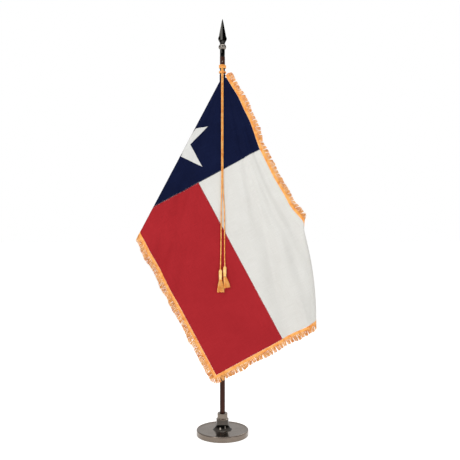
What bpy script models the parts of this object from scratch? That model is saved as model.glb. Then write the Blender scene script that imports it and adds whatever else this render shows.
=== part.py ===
# Floor-standing indoor flag set: weighted round stand, two-piece pole with a spear finial,
# a hitched cord with two tassels, and a fringed flag that hangs from its top corner.
# Metres, +Z up. The floor is z = 0, the pole stands on the Z axis and -Y is the front.

import math

import bmesh
import bpy
import numpy as np
from mathutils import Matrix, Vector

for old in list(bpy.data.objects):
    bpy.data.objects.remove(old)

fit = 0.0003  # gap between two pieces that touch

# Stand
baseRadius = 0.162
baseWall = 0.0014
rimHeight = 0.036
rimWidth = 0.012
dishDrop = 0.0028
feltThick = 0.003
plateThick = 0.0016
plateInset = 0.003
ballastHeight = 0.0235
ballastInset = 0.012
neckRadius = 0.060
neckTopRadius = 0.0385
neckHeight = 0.064
neckWall = 0.0016
collarRadius = 0.032
collarHeight = 0.039
collarLip = 0.012
tubeWall = 0.003
tubeClear = 0.0022  # tube's foot above the base plate
nutAcross = 0.056
nutHeight = 0.008
washerThick = 0.0014
plateScrewRadius = 0.0022
plateScrewCircle = 0.095
plateScrewLength = 0.014
plateScrewCount = 3

# Thumb screw through the back of the collar
clampRadius = 0.003
clampDrop = 0.019  # below the collar's top
clampTipLength = 0.003
knobRadius = 0.0125
knobLength = 0.010
knobStandOff = 0.006

# Pole
poleRadius = 0.015875
sectionLength = 1.1942
bushingWall = 0.0025
bushingFloor = 0.003
bushingSlit = 0.003
ferruleWall = 0.0009
jointFerruleLength = 0.040
finialFerruleLength = 0.0445
jointWasherThick = 0.0012
jointStudRadius = 0.004
jointStudSunk = 0.030
jointStudReach = 0.0235
insertWall = 0.0022
insertLength = 0.027
pinRadius = 0.0009
pinLength = 0.007

# Finial
finialWasherThick = 0.0012
finialStudRadius = 0.003
finialStudSunk = 0.022
ballRadius = 0.025
ballHeight = 0.0335
spearNeckRadius = 0.0165
spearHeight = 0.1605
spearThick = 0.0125

# Flag, measured flat
flagHoist = 0.92
blueWidth = 0.525
stripeLength = 1.085
clothThick = 0.0015
fringeThick = 0.0024
fringeDepth = 0.055
starThick = 0.0008
starLift = 0.0011
starRadius = 0.2145
starAlong = 0.245
seamGap = 0.0005
cornerCut = 0.034
flagDrop = 0.1535  # flag's top below the pole's top

# Drape: a fan of straight folds spreading from the hung corner. Angles are about that corner.
apexShift = 0.010
topEdgeAngle = math.radians(28.3)
foldAngle = math.radians(-27.7)
foldBulge = 0.012
foldGap = 0.0075
foldOpen = 0.024
frontGap = 0.0085
frontLean = 0.035
seamReach = 0.0131  # from the pole's face to the hoist seam
backFolds = 3
backFoldSteps = 7
rippleDepth = 0.009
rippleCount = 34
calmAngle = math.radians(7)
rollEdge = 0.577
rollRadius = 0.025
rollTurn = math.radians(175)
rollDrop = 1.48
rollCurve = 0.2926
rollRelease = 3.0  # how fast the roll opens out towards the top edge

# Sleeve, leather tab and screws
sleeveLoose = 0.0008
tabWidth = 0.0114
tabLength = 0.052
tabThick = 0.0018
screwRadius = 0.0016
screwHead = 0.0042
screwLength = 0.013
cordScrewDrop = 0.0755

# Cord and tassels
cordRadius = 0.0035
upperWraps = 3
lowerWraps = 2
cordSpace = 0.0004  # between two strands or wraps side by side
wrapPitch = 2 * cordRadius + cordSpace
strandSpacing = wrapPitch
lowerWrapRise = cordRadius + 0.006  # middle of the lowest wrap above the flag's top
upperWrapRise = lowerWrapRise + wrapPitch + 0.0246
legAhead = 0.006925  # a leg starts this far in front of a wrap's middle
headRadius = 0.0098
headLength = 0.0648
leftSkirtRadius = 0.0222
rightSkirtRadius = 0.0190
leftSkirtLength = 0.079
rightSkirtLength = 0.070
skirtFlat = 0.55  # a skirt's depth over its width, as it hangs against cloth

# Heights that follow from the sizes above
plateBottom = feltThick + fit
plateTop = plateBottom + plateThick
tubeInner = poleRadius + fit + bushingWall + fit
tubeOuter = tubeInner + tubeWall
tubeBottom = plateTop + tubeClear
ballastBottom = plateTop + fit
ballastTop = ballastBottom + ballastHeight
shellTop = rimHeight - dishDrop
neckBottom = shellTop + fit
neckTop = neckBottom + neckHeight
collarBottom = neckTop + fit
collarTop = collarBottom + collarHeight
tubeTop = collarTop - collarLip - fit
nutBottom = tubeBottom + fit
nutTop = nutBottom + nutHeight
washerTop = nutTop + fit + washerThick
clampHeight = collarTop - clampDrop - fit
bushingOuter = tubeInner - fit
bushingInner = poleRadius + fit
bushingBottom = tubeBottom + 0.002
poleFoot = bushingBottom + bushingFloor + fit
jointHeight = poleFoot + sectionLength
upperFoot = jointHeight + jointWasherThick + 2 * fit
poleTop = upperFoot + sectionLength
ballFoot = poleTop + finialWasherThick + 2 * fit
flagTop = poleTop - flagDrop
flagLength = blueWidth + stripeLength
seamY = -(poleRadius + seamReach)
turn = math.radians(90) - topEdgeAngle
frontPhi = foldAngle + foldBulge
frontPsi = frontPhi + turn
backPsi = frontPsi - math.pi * foldBulge


# ---------- helpers ----------


def finish(name, colour, roughness, metallic=0.0):
    look = bpy.data.materials.new(name)
    look.use_nodes = True
    shader = look.node_tree.nodes["Principled BSDF"]
    shader.inputs["Base Color"].default_value = (*colour, 1)
    shader.inputs["Roughness"].default_value = roughness
    shader.inputs["Metallic"].default_value = metallic
    return look


def place(name, data, look, at=(0, 0, 0), parent=None):
    piece = bpy.data.objects.new(name, data)
    bpy.context.collection.objects.link(piece)
    data.materials.append(look)
    piece.location = at
    piece.parent = parent
    return piece


def pivot(name, at, parent=None):
    empty = bpy.data.objects.new(name, None)
    bpy.context.collection.objects.link(empty)
    empty.location = at
    empty.parent = parent
    return empty


def meshPiece(name, bm, look, at=(0, 0, 0), parent=None, sharp=35):
    mesh = bpy.data.meshes.new(name)
    bm.to_mesh(mesh)
    bm.free()
    mesh.shade_smooth()
    mesh.set_sharp_from_angle(angle=math.radians(sharp))
    return place(name, mesh, look, at, parent)


def spun(profile, sides):
    # A profile that starts and ends on the axis is closed there; any other is a ring.
    bm = bmesh.new()
    points = [bm.verts.new((r, 0, z)) for r, z in profile]
    pairs = list(zip(points, points[1:]))
    if profile[0][0] > 0 or profile[-1][0] > 0:
        pairs.append((points[-1], points[0]))
    edges = [bm.edges.new(pair) for pair in pairs]
    bmesh.ops.spin(bm, geom=points + edges, cent=(0, 0, 0), axis=(0, 0, 1), angle=math.tau,
                   steps=sides, use_merge=True)
    bmesh.ops.remove_doubles(bm, verts=bm.verts, dist=1e-7)
    bmesh.ops.recalc_face_normals(bm, faces=bm.faces)
    return bm


def turned(name, profile, look, at=(0, 0, 0), parent=None, sides=32):
    return meshPiece(name, spun(profile, sides), look, at, parent)


def ringProfile(inner, outer, bottom, top, bevel=0.0):
    b = bevel
    if not b:
        return [(inner, bottom), (outer, bottom), (outer, top), (inner, top)]
    return [(inner, bottom), (outer - b, bottom), (outer, bottom + b), (outer, top - b),
            (outer - b, top), (inner, top)]


def rod(name, radius, length, look, at=(0, 0, 0), along=(0, 0, 1), parent=None, sides=16):
    # A plain round bar that starts at its origin and runs along the given direction.
    bm = bmesh.new()
    bmesh.ops.create_cone(bm, cap_ends=True, segments=sides, radius1=radius, radius2=radius,
                          depth=length, matrix=Matrix.Translation((0, 0, length / 2)))
    piece = meshPiece(name, bm, look, at, parent)
    piece.rotation_euler = Vector(along).to_track_quat("Z", "Y").to_euler()
    return piece


def cutWith(piece, cutter, how="DIFFERENCE"):
    cutter.hide_render = True
    cutter.display_type = "WIRE"
    step = piece.modifiers.new(cutter.name, "BOOLEAN")
    step.operation = how
    step.solver = "EXACT"
    step.object = cutter


def drill(piece, name, radius, length, at, along):
    cutWith(piece, rod(name, radius, length, helper, at, along))


def ease(share):
    share = min(1.0, max(0.0, share))
    return share * share * (3 - 2 * share)


def smoothRoute(stops, step):
    # Catmull-Rom curve through the stops, read off at equal steps.
    stops = [Vector(s) for s in stops]
    held = [2 * stops[0] - stops[1], *stops, 2 * stops[-1] - stops[-2]]
    fine = []
    for a, b, c, d in zip(held, held[1:], held[2:], held[3:]):
        for t in np.linspace(0, 1, 12, endpoint=False):
            fine.append(0.5 * (2 * b + (c - a) * t + (2 * a - 5 * b + 4 * c - d) * t**2
                               + (3 * b - a - 3 * c + d) * t**3))
    fine = np.array([*fine, stops[-1]])
    along = np.concatenate([[0], np.cumsum(np.linalg.norm(np.diff(fine, axis=0), axis=1))])
    at = np.linspace(0, along[-1], max(2, round(along[-1] / step)) + 1)
    return np.stack([np.interp(at, along, fine[:, k]) for k in range(3)], axis=1)


def cordTube(name, stops, look, at, parent, step=3):
    route = smoothRoute(stops, step * 2 * cordRadius)
    curve = bpy.data.curves.new(name, "CURVE")
    curve.dimensions = "3D"
    curve.bevel_depth = cordRadius
    curve.bevel_resolution = 2
    curve.use_fill_caps = True
    line = curve.splines.new("POLY")
    line.points.add(len(route) - 1)
    for point, place_at in zip(line.points, route):
        point.co = (*place_at, 1)
    return place(name, curve, look, at, parent)


# ---------- finishes ----------

helper = finish("cutting guide", (0.5, 0.5, 0.5), 0.5)
chrome = finish("chrome plate", (0.62, 0.60, 0.57), 0.12, 1.0)
darkSteel = finish("zinc-plated steel", (0.35, 0.35, 0.36), 0.35, 1.0)
castIron = finish("cast iron", (0.06, 0.06, 0.06), 0.7, 0.6)
feltGreen = finish("base felt", (0.02, 0.05, 0.03), 0.95)
stainedOak = finish("stained oak", (0.055, 0.018, 0.012), 0.3)
brass = finish("brass", (0.55, 0.38, 0.12), 0.3, 1.0)
fibre = finish("fibre washer", (0.09, 0.05, 0.03), 0.8)
nylon = finish("nylon", (0.02, 0.02, 0.02), 0.5)
leather = finish("tan leather", (0.22, 0.10, 0.04), 0.6)
navyCloth = finish("navy nylon cloth", (0.006, 0.010, 0.040), 0.6)
whiteCloth = finish("white nylon cloth", (0.72, 0.72, 0.68), 0.6)
redCloth = finish("red nylon cloth", (0.41, 0.025, 0.032), 0.6)
goldFringe = finish("gold rayon fringe", (0.87, 0.52, 0.20), 0.5)
goldCord = finish("gold rayon cord", (1.00, 0.40, 0.08), 0.5)


# ---------- stand ----------


def buildStand():
    shellInner = baseRadius - baseWall
    plateRadius = shellInner - plateInset
    rimInner = baseRadius - rimWidth
    shoulder = 0.006
    foot = feltThick / 2
    outer = [(baseRadius - 0.0006, foot), (baseRadius, foot + 0.0008)]
    outer += [(baseRadius, rimHeight - shoulder)]
    for k in range(1, 4):
        a = math.radians(30 * k)
        outer.append((baseRadius - shoulder * (1 - math.cos(a)),
                      rimHeight - shoulder * (1 - math.sin(a))))
    outer += [(rimInner + 0.003, rimHeight), (rimInner - 0.004, shellTop + 0.0004)]
    outer += [(rimInner - 0.007, shellTop), (tubeOuter + fit, shellTop)]
    inner = [(tubeOuter + fit, shellTop - baseWall), (rimInner - 0.0065, shellTop - baseWall)]
    inner += [(rimInner + 0.0026, rimHeight - baseWall)]
    inner += [(baseRadius - shoulder, rimHeight - baseWall)]
    inner += [(shellInner - 0.0012, rimHeight - 0.0046), (shellInner, rimHeight - shoulder)]
    inner += [(shellInner, foot)]
    turned("base_shell", outer + inner, chrome, sides=44)

    turned("felt_pad", [(0, 0), (plateRadius, 0), (plateRadius, feltThick), (0, feltThick)],
           feltGreen, sides=36)

    plate = turned("base_plate", [(0, plateBottom), (plateRadius, plateBottom),
                                  (plateRadius, plateTop), (0, plateTop)], darkSteel, sides=36)

    nutRoom = nutAcross / math.sqrt(3) + 0.002
    ballast = turned("ballast_weight", [
        (nutRoom, ballastBottom), (shellInner - ballastInset + 0.006, ballastBottom),
        (shellInner - ballastInset + 0.006, ballastTop - 0.008),
        (shellInner - ballastInset, ballastTop), (tubeOuter + fit, ballastTop),
        (tubeOuter + fit, washerTop + fit), (nutRoom, washerTop + fit)], castIron, sides=24)
    # The shell sits on a raised ring of the casting.
    spacer = turned("ballast_seat", ringProfile(neckRadius - 0.012, neckRadius, ballastTop - 0.004,
                                                shellTop - baseWall - fit), helper, sides=24)
    cutWith(ballast, spacer, "UNION")

    for k in range(plateScrewCount):
        a = math.tau * (k + 0.5) / plateScrewCount
        spot = (plateScrewCircle * math.cos(a), plateScrewCircle * math.sin(a), plateBottom)
        hole = plateScrewRadius + fit
        drill(plate, f"plate_hole_{k + 1}", hole, plateThick * 3,
              (spot[0], spot[1], plateBottom - plateThick), (0, 0, 1))
        drill(ballast, f"ballast_hole_{k + 1}", hole, plateScrewLength + plateThick,
              (spot[0], spot[1], plateBottom), (0, 0, 1))
        # Flat-bottomed screw whose slim head is flush with the plate.
        turned(f"plate_screw_{k + 1}", [(0, 0), (plateScrewRadius, 0),
                                        (plateScrewRadius, plateScrewLength - 0.002),
                                        (0, plateScrewLength)], darkSteel, spot, sides=12)

    tube = turned("socket_tube", ringProfile(tubeInner, tubeOuter, tubeBottom, tubeTop, 0.0004),
                  darkSteel, sides=32)

    turned("lock_washer", ringProfile(tubeOuter + fit, nutAcross / 2 + 0.001, nutTop + fit, washerTop),
           darkSteel, sides=28)
    bm = bmesh.new()
    bmesh.ops.create_cone(bm, cap_ends=True, segments=6, radius1=nutAcross / math.sqrt(3),
                          radius2=nutAcross / math.sqrt(3), depth=nutHeight)
    nut = meshPiece("lock_nut", bm, darkSteel, (0, 0, nutBottom + nutHeight / 2))
    cutWith(nut, rod("nut_bore", tubeOuter + fit, nutHeight * 2, helper,
                     (0, 0, nutBottom - nutHeight / 2), sides=32))

    # Trumpet-shaped neck: a straight taper eased into a flared foot.
    steps = 7
    bell = []
    for k in range(steps + 1):
        share = k / steps
        flare = (1 - share) ** 3.2
        bell.append((neckTopRadius + (neckRadius - neckTopRadius) * flare, share * neckHeight))
    inside = [(r - neckWall, z) for r, z in reversed(bell)]
    inside[0] = (inside[0][0], neckHeight - neckWall)
    closedTop = [(tubeOuter + fit, neckHeight), (tubeOuter + fit, neckHeight - neckWall)]
    turned("neck_bell", bell + closedTop + inside, chrome, (0, 0, neckBottom), sides=32)

    lipZ = collarTop - collarLip
    collar = turned("top_collar", [
        (tubeOuter + fit, collarBottom), (neckTopRadius, collarBottom),
        (neckTopRadius, collarBottom + 0.0022), (collarRadius + 0.0012, collarBottom + 0.0040),
        (collarRadius, collarBottom + 0.0060), (collarRadius, collarTop - 0.0022),
        (collarRadius - 0.0008, collarTop - 0.0006), (collarRadius - 0.0026, collarTop),
        (tubeInner, collarTop), (tubeInner, lipZ), (tubeOuter + fit, lipZ)], chrome, sides=32)

    for piece, label in ((collar, "collar_hole"), (tube, "tube_hole")):
        drill(piece, label, clampRadius + fit, collarRadius, (0, bushingOuter - 0.004, clampHeight),
              (0, 1, 0))


def buildClamp():
    tipStart = bushingOuter + fit
    tipEnd = tipStart + clampTipLength
    shankEnd = collarRadius + knobStandOff
    screw = pivot("clamp_axis", (0, 0, clampHeight))
    rod("clamp_tip", clampRadius, clampTipLength, nylon, (0, tipStart, 0), (0, 1, 0), screw)
    rod("thumb_screw_shank", clampRadius, shankEnd - tipEnd - fit, chrome, (0, tipEnd + fit, 0),
        (0, 1, 0), screw)
    # Scalloped knob.
    lobes = 8
    bm = bmesh.new()
    rim = []
    for k in range(lobes * 5):
        a = math.tau * k / (lobes * 5)
        reach = knobRadius * (1 - 0.07 * (1 - math.cos(lobes * a)))
        rim.append(bm.verts.new((reach * math.cos(a), reach * math.sin(a), 0)))
    bm.faces.new(rim)
    block = bmesh.ops.extrude_face_region(bm, geom=bm.faces[:])
    lifted = [v for v in block["geom"] if isinstance(v, bmesh.types.BMVert)]
    bmesh.ops.translate(bm, verts=lifted, vec=(0, 0, knobLength))
    bmesh.ops.recalc_face_normals(bm, faces=bm.faces)
    knob = meshPiece("thumb_screw_knob", bm, chrome, (0, shankEnd + fit, 0), screw, sharp=25)
    knob.rotation_euler = Vector((0, 1, 0)).to_track_quat("Z", "Y").to_euler()
    edge = knob.modifiers.new("rounded rim", "BEVEL")
    edge.width = 0.0012
    edge.segments = 2
    edge.limit_method = "ANGLE"
    edge.angle_limit = math.radians(60)


# ---------- pole ----------


def shaftProfile(bottom, top, lowFerrule, highFerrule, lowBore, highBore):
    # Solid dowel, turned down under each ferrule and bored at each end.
    slim = poleRadius - ferruleWall - fit
    points = []
    if lowBore:
        points += [(0, bottom + lowBore[1]), (lowBore[0], bottom + lowBore[1]), (lowBore[0], bottom)]
    else:
        points.append((0, bottom))
    if lowFerrule:
        points += [(slim, bottom), (slim, bottom + lowFerrule), (poleRadius, bottom + lowFerrule)]
    else:
        points += [(poleRadius - 0.001, bottom), (poleRadius, bottom + 0.001)]
    points += [(poleRadius, top - highFerrule), (slim, top - highFerrule), (slim, top)]
    points += [(highBore[0], top), (highBore[0], top - highBore[1]), (0, top - highBore[1])]
    return points


def pinFerrule(label, ferrule, shaft, height):
    # A headless pin driven in from the back.
    outside = (0, poleRadius, height)
    for piece, where in ((ferrule, "ferrule"), (shaft, "shaft")):
        drill(piece, f"{label}_{where}_hole", pinRadius + fit, pinLength * 2,
              (0, poleRadius - pinLength - 0.001, height), (0, 1, 0))
    rod(f"{label}_pin", pinRadius, pinLength - 0.0004, darkSteel, outside, (0, -1, 0), sides=10)


def buildPole():
    bushing = turned("pole_bushing", [
        (0, bushingBottom), (bushingOuter, bushingBottom), (bushingOuter, collarTop - 0.0005),
        (bushingInner, collarTop - 0.0005), (bushingInner, bushingBottom + bushingFloor),
        (0, bushingBottom + bushingFloor)], nylon, sides=32)
    slitFoot = bushingBottom + bushingFloor + 0.015
    bm = bmesh.new()
    size = Matrix.Diagonal((bushingSlit, bushingOuter * 2, collarTop - slitFoot + 0.01, 1))
    bmesh.ops.create_cube(bm, size=1, matrix=size)
    cutWith(bushing, meshPiece("bushing_slit", bm, helper, (0, -bushingOuter - bushingInner / 2,
            (slitFoot + collarTop + 0.01) / 2)))

    capHeight = 0.0009
    studHole = jointStudRadius + fit
    sleeveIn = poleRadius - ferruleWall
    lower = turned("lower_shaft", shaftProfile(
        poleFoot, jointHeight - capHeight - fit, 0, jointFerruleLength, None,
        (studHole, jointStudSunk)), stainedOak, sides=24)
    lowerFerrule = turned("lower_joint_ferrule", [
        (studHole, jointHeight - capHeight), (sleeveIn, jointHeight - capHeight),
        (sleeveIn, jointHeight - capHeight - jointFerruleLength + fit),
        (poleRadius, jointHeight - capHeight - jointFerruleLength + fit),
        (poleRadius, jointHeight - 0.0004), (poleRadius - 0.0004, jointHeight),
        (studHole, jointHeight)], chrome, sides=24)
    studLength = jointStudSunk + jointStudReach
    turned("joint_stud", [(0, 0), (jointStudRadius, 0), (jointStudRadius, studLength - 0.002),
                          (jointStudRadius - 0.0015, studLength), (0, studLength)], darkSteel,
           (0, 0, jointHeight - capHeight - jointStudSunk), sides=20)
    pinFerrule("lower_ferrule", lowerFerrule, lower, jointHeight - jointFerruleLength * 0.6)

    turned("joint_washer", ringProfile(studHole, poleRadius - 0.001, jointHeight + fit,
                                       jointHeight + fit + jointWasherThick), fibre, sides=32)

    insertOuter = studHole + insertWall
    finialHole = finialStudRadius + fit
    finialInsertOuter = finialHole + insertWall
    upperBottom = upperFoot + capHeight + fit
    upperTop = poleTop - capHeight - fit
    upper = turned("upper_shaft", shaftProfile(
        upperBottom, upperTop, jointFerruleLength, finialFerruleLength,
        (insertOuter + fit, insertLength), (finialInsertOuter + fit, insertLength)),
        stainedOak, sides=24)
    upperFerrule = turned("upper_joint_ferrule", [
        (studHole, upperFoot), (poleRadius - 0.0004, upperFoot), (poleRadius, upperFoot + 0.0004),
        (poleRadius, upperBottom + jointFerruleLength - fit),
        (sleeveIn, upperBottom + jointFerruleLength - fit), (sleeveIn, upperFoot + capHeight),
        (studHole, upperFoot + capHeight)], chrome, sides=24)
    turned("joint_insert", ringProfile(studHole, insertOuter, upperBottom,
                                       upperBottom + insertLength - fit), brass, sides=20)
    pinFerrule("upper_ferrule", upperFerrule, upper, upperFoot + jointFerruleLength * 0.6)

    topFerrule = turned("finial_ferrule", [
        (finialHole, poleTop - capHeight), (sleeveIn, poleTop - capHeight),
        (sleeveIn, upperTop - finialFerruleLength + fit),
        (poleRadius, upperTop - finialFerruleLength + fit),
        (poleRadius, poleTop - 0.0004), (poleRadius - 0.0004, poleTop), (finialHole, poleTop)],
        chrome, sides=24)
    turned("finial_insert", ringProfile(finialHole, finialInsertOuter, upperTop - insertLength + fit,
                                        upperTop), brass, sides=20)
    pinFerrule("finial_ferrule", topFerrule, upper, poleTop - finialFerruleLength * 0.6)

    # Screws in the front of the upper section: one for the cord, one for the leather tab.
    for label, height, seat in (("cord_screw", poleTop - cordScrewDrop, 0.0),
                                ("tab_screw", flagTop - tabLength * 0.72, tabThick + fit)):
        drill(upper, f"{label}_hole", screwRadius + fit, screwLength * 2,
              (0, -(poleRadius - screwLength + seat), height), (0, -1, 0))
        face = poleRadius + fit + seat
        shape = [(0, 0), (screwRadius, 0), (screwRadius, screwLength - 0.0016), (screwHead, screwLength - 0.0016)]
        shape += [(screwHead * 0.82, screwLength + 0.0004), (screwHead * 0.42, screwLength + 0.0014)]
        shape.append((0, screwLength + 0.0017))
        piece = turned(label, shape, chrome, (0, -(face - screwLength + 0.0016), height), sides=16)
        piece.rotation_euler = Vector((0, -1, 0)).to_track_quat("Z", "Y").to_euler()


# ---------- finial ----------


def buildFinial():
    finial = pivot("finial_axis", (0, 0, poleTop))
    hole = finialStudRadius + fit
    turned("finial_washer", ringProfile(hole, poleRadius - 0.003, fit, fit + finialWasherThick),
           fibre, parent=finial, sides=24)
    rise = ballFoot - poleTop
    studTop = rise + ballHeight * 0.5
    turned("finial_stud", [(0, -finialStudSunk), (finialStudRadius - 0.001, -finialStudSunk),
                           (finialStudRadius, -finialStudSunk + 0.0015), (finialStudRadius, studTop),
                           (0, studTop)], darkSteel, parent=finial, sides=16)
    # Flattened ball, open below for the stud, closed above by the spear's neck.
    ball = [(hole, 0)]
    middle = ballHeight / 2
    lowest = math.asin(poleRadius * 0.86 / ballRadius)
    highest = math.pi - math.asin(spearNeckRadius / ballRadius)
    for a in np.linspace(lowest, highest, 10):
        ball.append((ballRadius * math.sin(a), middle - middle / math.cos(lowest) * math.cos(a)))
    ball[1] = (ball[1][0], 0)
    top = ball[-1][1]
    ball += [(0, top), (0, studTop - rise + fit), (hole, studTop - rise + fit)]
    turned("finial_ball", ball, chrome, (0, 0, rise), finial, sides=32)

    # Spear: a leaf with a ridge down each face, drawn from a round neck and two barbs.
    start = rise + top + fit
    halfWidths = [(0, 1.00), (0.05, 0.98), (0.085, 1.08), (0.125, 1.27), (0.165, 1.50),
                  (0.205, 1.63), (0.245, 1.64), (0.285, 1.53), (0.325, 1.34), (0.40, 1.23),
                  (0.50, 1.06), (0.62, 0.82), (0.75, 0.58), (0.88, 0.33), (0.97, 0.13)]
    bm = bmesh.new()
    rings = []
    sides = 16
    for up, wide in halfWidths:
        halfWide = spearNeckRadius * wide
        flat = ease(up / 0.2)
        halfThick = spearNeckRadius * (1 - flat) + spearThick / 2 * flat * (1 - up) ** 0.6 * 1.15
        ring = []
        for k in range(sides):
            a = math.tau * k / sides
            c, s = math.cos(a), math.sin(a)
            ridge = max(0.0, 1 - abs(c)) * math.copysign(1, s) * (0.82 + 0.18 * (1 - abs(c)))
            deep = s * (1 - flat) + ridge * flat
            ring.append(bm.verts.new((halfWide * c, halfThick * deep, up * spearHeight)))
        rings.append(ring)
    for low, high in zip(rings, rings[1:]):
        for k in range(sides):
            bm.faces.new((low[k], low[(k + 1) % sides], high[(k + 1) % sides], high[k]))
    bm.faces.new(list(reversed(rings[0])))
    tip = bm.verts.new((0, 0, spearHeight))
    for k in range(sides):
        bm.faces.new((rings[-1][k], rings[-1][(k + 1) % sides], tip))
    bmesh.ops.remove_doubles(bm, verts=bm.verts, dist=1e-7)
    bmesh.ops.recalc_face_normals(bm, faces=bm.faces)
    meshPiece("spear_blade", bm, chrome, (0, 0, start), finial, sharp=25)


# ---------- flag ----------


def meanderTable():
    # Sideways and backward travel of a sine-generated fold line, both starting at 0.
    spread = -frontPhi / backPsi
    swing = math.sqrt(8 * (1 - math.sqrt(spread)))
    s = np.linspace(0, 1, 841)
    middle = (s[1:] + s[:-1]) / 2
    heading = swing * np.sin(math.tau * backFolds * middle)
    across = np.concatenate([[0], np.cumsum(np.cos(heading))])
    back = np.concatenate([[0], np.cumsum(np.sin(heading))]) / (len(s) - 1)
    return s, across / across[-1], back


meander = meanderTable()

# How far the top edge swings in (-) or out (+) from a straight line, in degrees, by distance.
edgeSwing = [(0.0, 0.0), (0.15, 2.3), (0.28, 0.0), (0.53, -3.4), (0.67, -3.2), (0.89, -2.2),
             (1.07, -0.4), (1.25, 0.0), (9.0, 0.0)]


def edgeTurn(rho):
    for (a, low), (b, high) in zip(edgeSwing, edgeSwing[1:]):
        if rho <= b:
            return math.radians(low + (high - low) * ease((rho - a) / (b - a)))
    return 0.0


def ripple(phi, rho):
    calm = ease((abs(phi) - calmAngle) / calmAngle) * ease((phi - frontPhi) / calmAngle)
    return rho * calm * rippleDepth * math.sin(rippleCount * phi)


def rollStart(down):
    edge = rollEdge - rollRadius - rollCurve * (rollDrop - down) ** 2
    return edge + rollRelease * max(0.0, 1 - down) ** 2


def drapePoint(u, v):
    # Flat cloth (u along the fly, v down the hoist) to a place relative to the hung corner.
    rho, psi = math.hypot(u, v), math.atan2(u, v)
    front = seamY - frontGap - frontLean * rho
    gap = foldGap + foldOpen * rho
    across = apexShift
    if psi >= frontPsi:
        phi = psi - turn
        y = front + ripple(phi, rho)
        phi += edgeTurn(rho) * ease((phi - calmAngle) / (topEdgeAngle - calmAngle))
    elif psi >= backPsi:
        share = (frontPsi - psi) / (frontPsi - backPsi)
        phi = frontPhi - foldBulge * math.sin(math.pi * share)
        y = front + gap * (1 - math.cos(math.pi * share)) / 2
    else:
        share = 1 - psi / backPsi
        phi = frontPhi * (1 - np.interp(share, meander[0], meander[1]))
        across = apexShift * (1 - share)
        y = (front + gap) * (1 - share) + seamY * share
        y += rho * backPsi * np.interp(share, meander[0], meander[2]) * ease(rho / 0.15)
    x, down = across + rho * math.sin(phi), rho * math.cos(phi)
    past = x - rollStart(down)
    if past > 0:
        around = min(past / rollRadius, rollTurn)
        rest = past - around * rollRadius
        x = rollStart(down) + rollRadius * math.sin(around) + rest * math.cos(around)
        y += rollRadius * (1 - math.cos(around)) + rest * math.sin(around)
    return Vector((x, y, -down))


def drape(u, v, out=0.0):
    # out is the height above the cloth's middle, on the face that the front panel shows.
    middle = drapePoint(u, v)
    if not out:
        return middle
    tiny = 0.0004
    along = drapePoint(u + tiny, v) - drapePoint(u - tiny, v)
    down = drapePoint(u, v + tiny) - drapePoint(u, v - tiny)
    return middle + along.cross(down).normalized() * -out


def cutLines():
    # Rays from the hung corner, then level rows and the upright lines of the right-hand roll.
    rays = [backPsi * (1 - k / (backFolds * backFoldSteps)) for k in range(backFolds * backFoldSteps)]
    rays += list(np.linspace(backPsi, frontPsi, 7))[1:]
    rays += list(np.linspace(frontPsi, math.radians(90), 24))[1:-1]
    rows = list(np.arange(0.10, 1.95, 0.115))
    backRows = (0.06, 0.09, 0.12, 0.15, 0.30, 0.50, 0.72)
    columns = list(np.linspace(rollEdge - 0.13, rollEdge + 0.075, 19))
    return rays, rows, columns, backRows


def clothPiece(name, outline, look, thick, out=0.0, centre=None, slack=0.0):
    bm = bmesh.new()
    corners = [bm.verts.new((u, v, 0)) for u, v in outline]
    if centre:
        hub = bm.verts.new((*centre, 0))
        for a, b in zip(corners, corners[1:] + corners[:1]):
            bm.faces.new((hub, a, b))
    else:
        bm.faces.new(corners)
    rays, rows, columns, backRows = cutLines()

    def split(faces, spot, normal):
        edges = {e for f in faces for e in f.edges}
        verts = {v for f in faces for v in f.verts}
        bmesh.ops.bisect_plane(bm, geom=[*faces, *edges, *verts], dist=1e-6, plane_co=spot,
                               plane_no=normal)

    def inFront(front=True):
        found = []
        for face in bm.faces:
            middle = face.calc_center_median()
            if (math.atan2(middle.x, middle.y) > frontPsi) == front:
                found.append(face)
        return found

    for ray in rays:
        split(bm.faces[:], (0, 0, 0), (math.cos(ray), -math.sin(ray), 0))
    level = Vector((math.sin(turn), math.cos(turn), 0))
    upright = Vector((math.cos(turn), -math.sin(turn), 0))
    for row in rows:
        split(inFront(), level * row, level)
    for column in columns:
        split(inFront(), upright * (column - apexShift), upright)
    for row in backRows:
        split(inFront(False), (0, row, 0), (0, 1, 0))
    bmesh.ops.remove_doubles(bm, verts=bm.verts, dist=0.0004)
    bmesh.ops.dissolve_degenerate(bm, edges=bm.edges, dist=0.0004)
    bmesh.ops.triangulate(bm, faces=bm.faces)

    shape = bmesh.new()
    bm.verts.index_update()
    flat = [(v.co.x, v.co.y) for v in bm.verts]
    near = [shape.verts.new(drape(u, v, out + thick / 2)) for u, v in flat]
    far = [shape.verts.new(drape(u, v, out - thick / 2)) for u, v in flat]
    for face in bm.faces:
        a, b, c = (v.index for v in face.verts)
        shape.faces.new((near[a], near[b], near[c]))
        shape.faces.new((far[c], far[b], far[a]))
    for edge in bm.edges:
        if edge.is_boundary:
            a, b = (v.index for v in edge.verts)
            shape.faces.new((near[a], near[b], far[b]))
            shape.faces.new((near[a], far[b], far[a]))
    bm.free()
    bmesh.ops.recalc_face_normals(shape, faces=shape.faces)
    return meshPiece(name, shape, look, (0, 0, flagTop), sharp=50)


def rectangle(left, right, top, bottom):
    return [(left, top), (right, top), (right, bottom), (left, bottom)]


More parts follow.
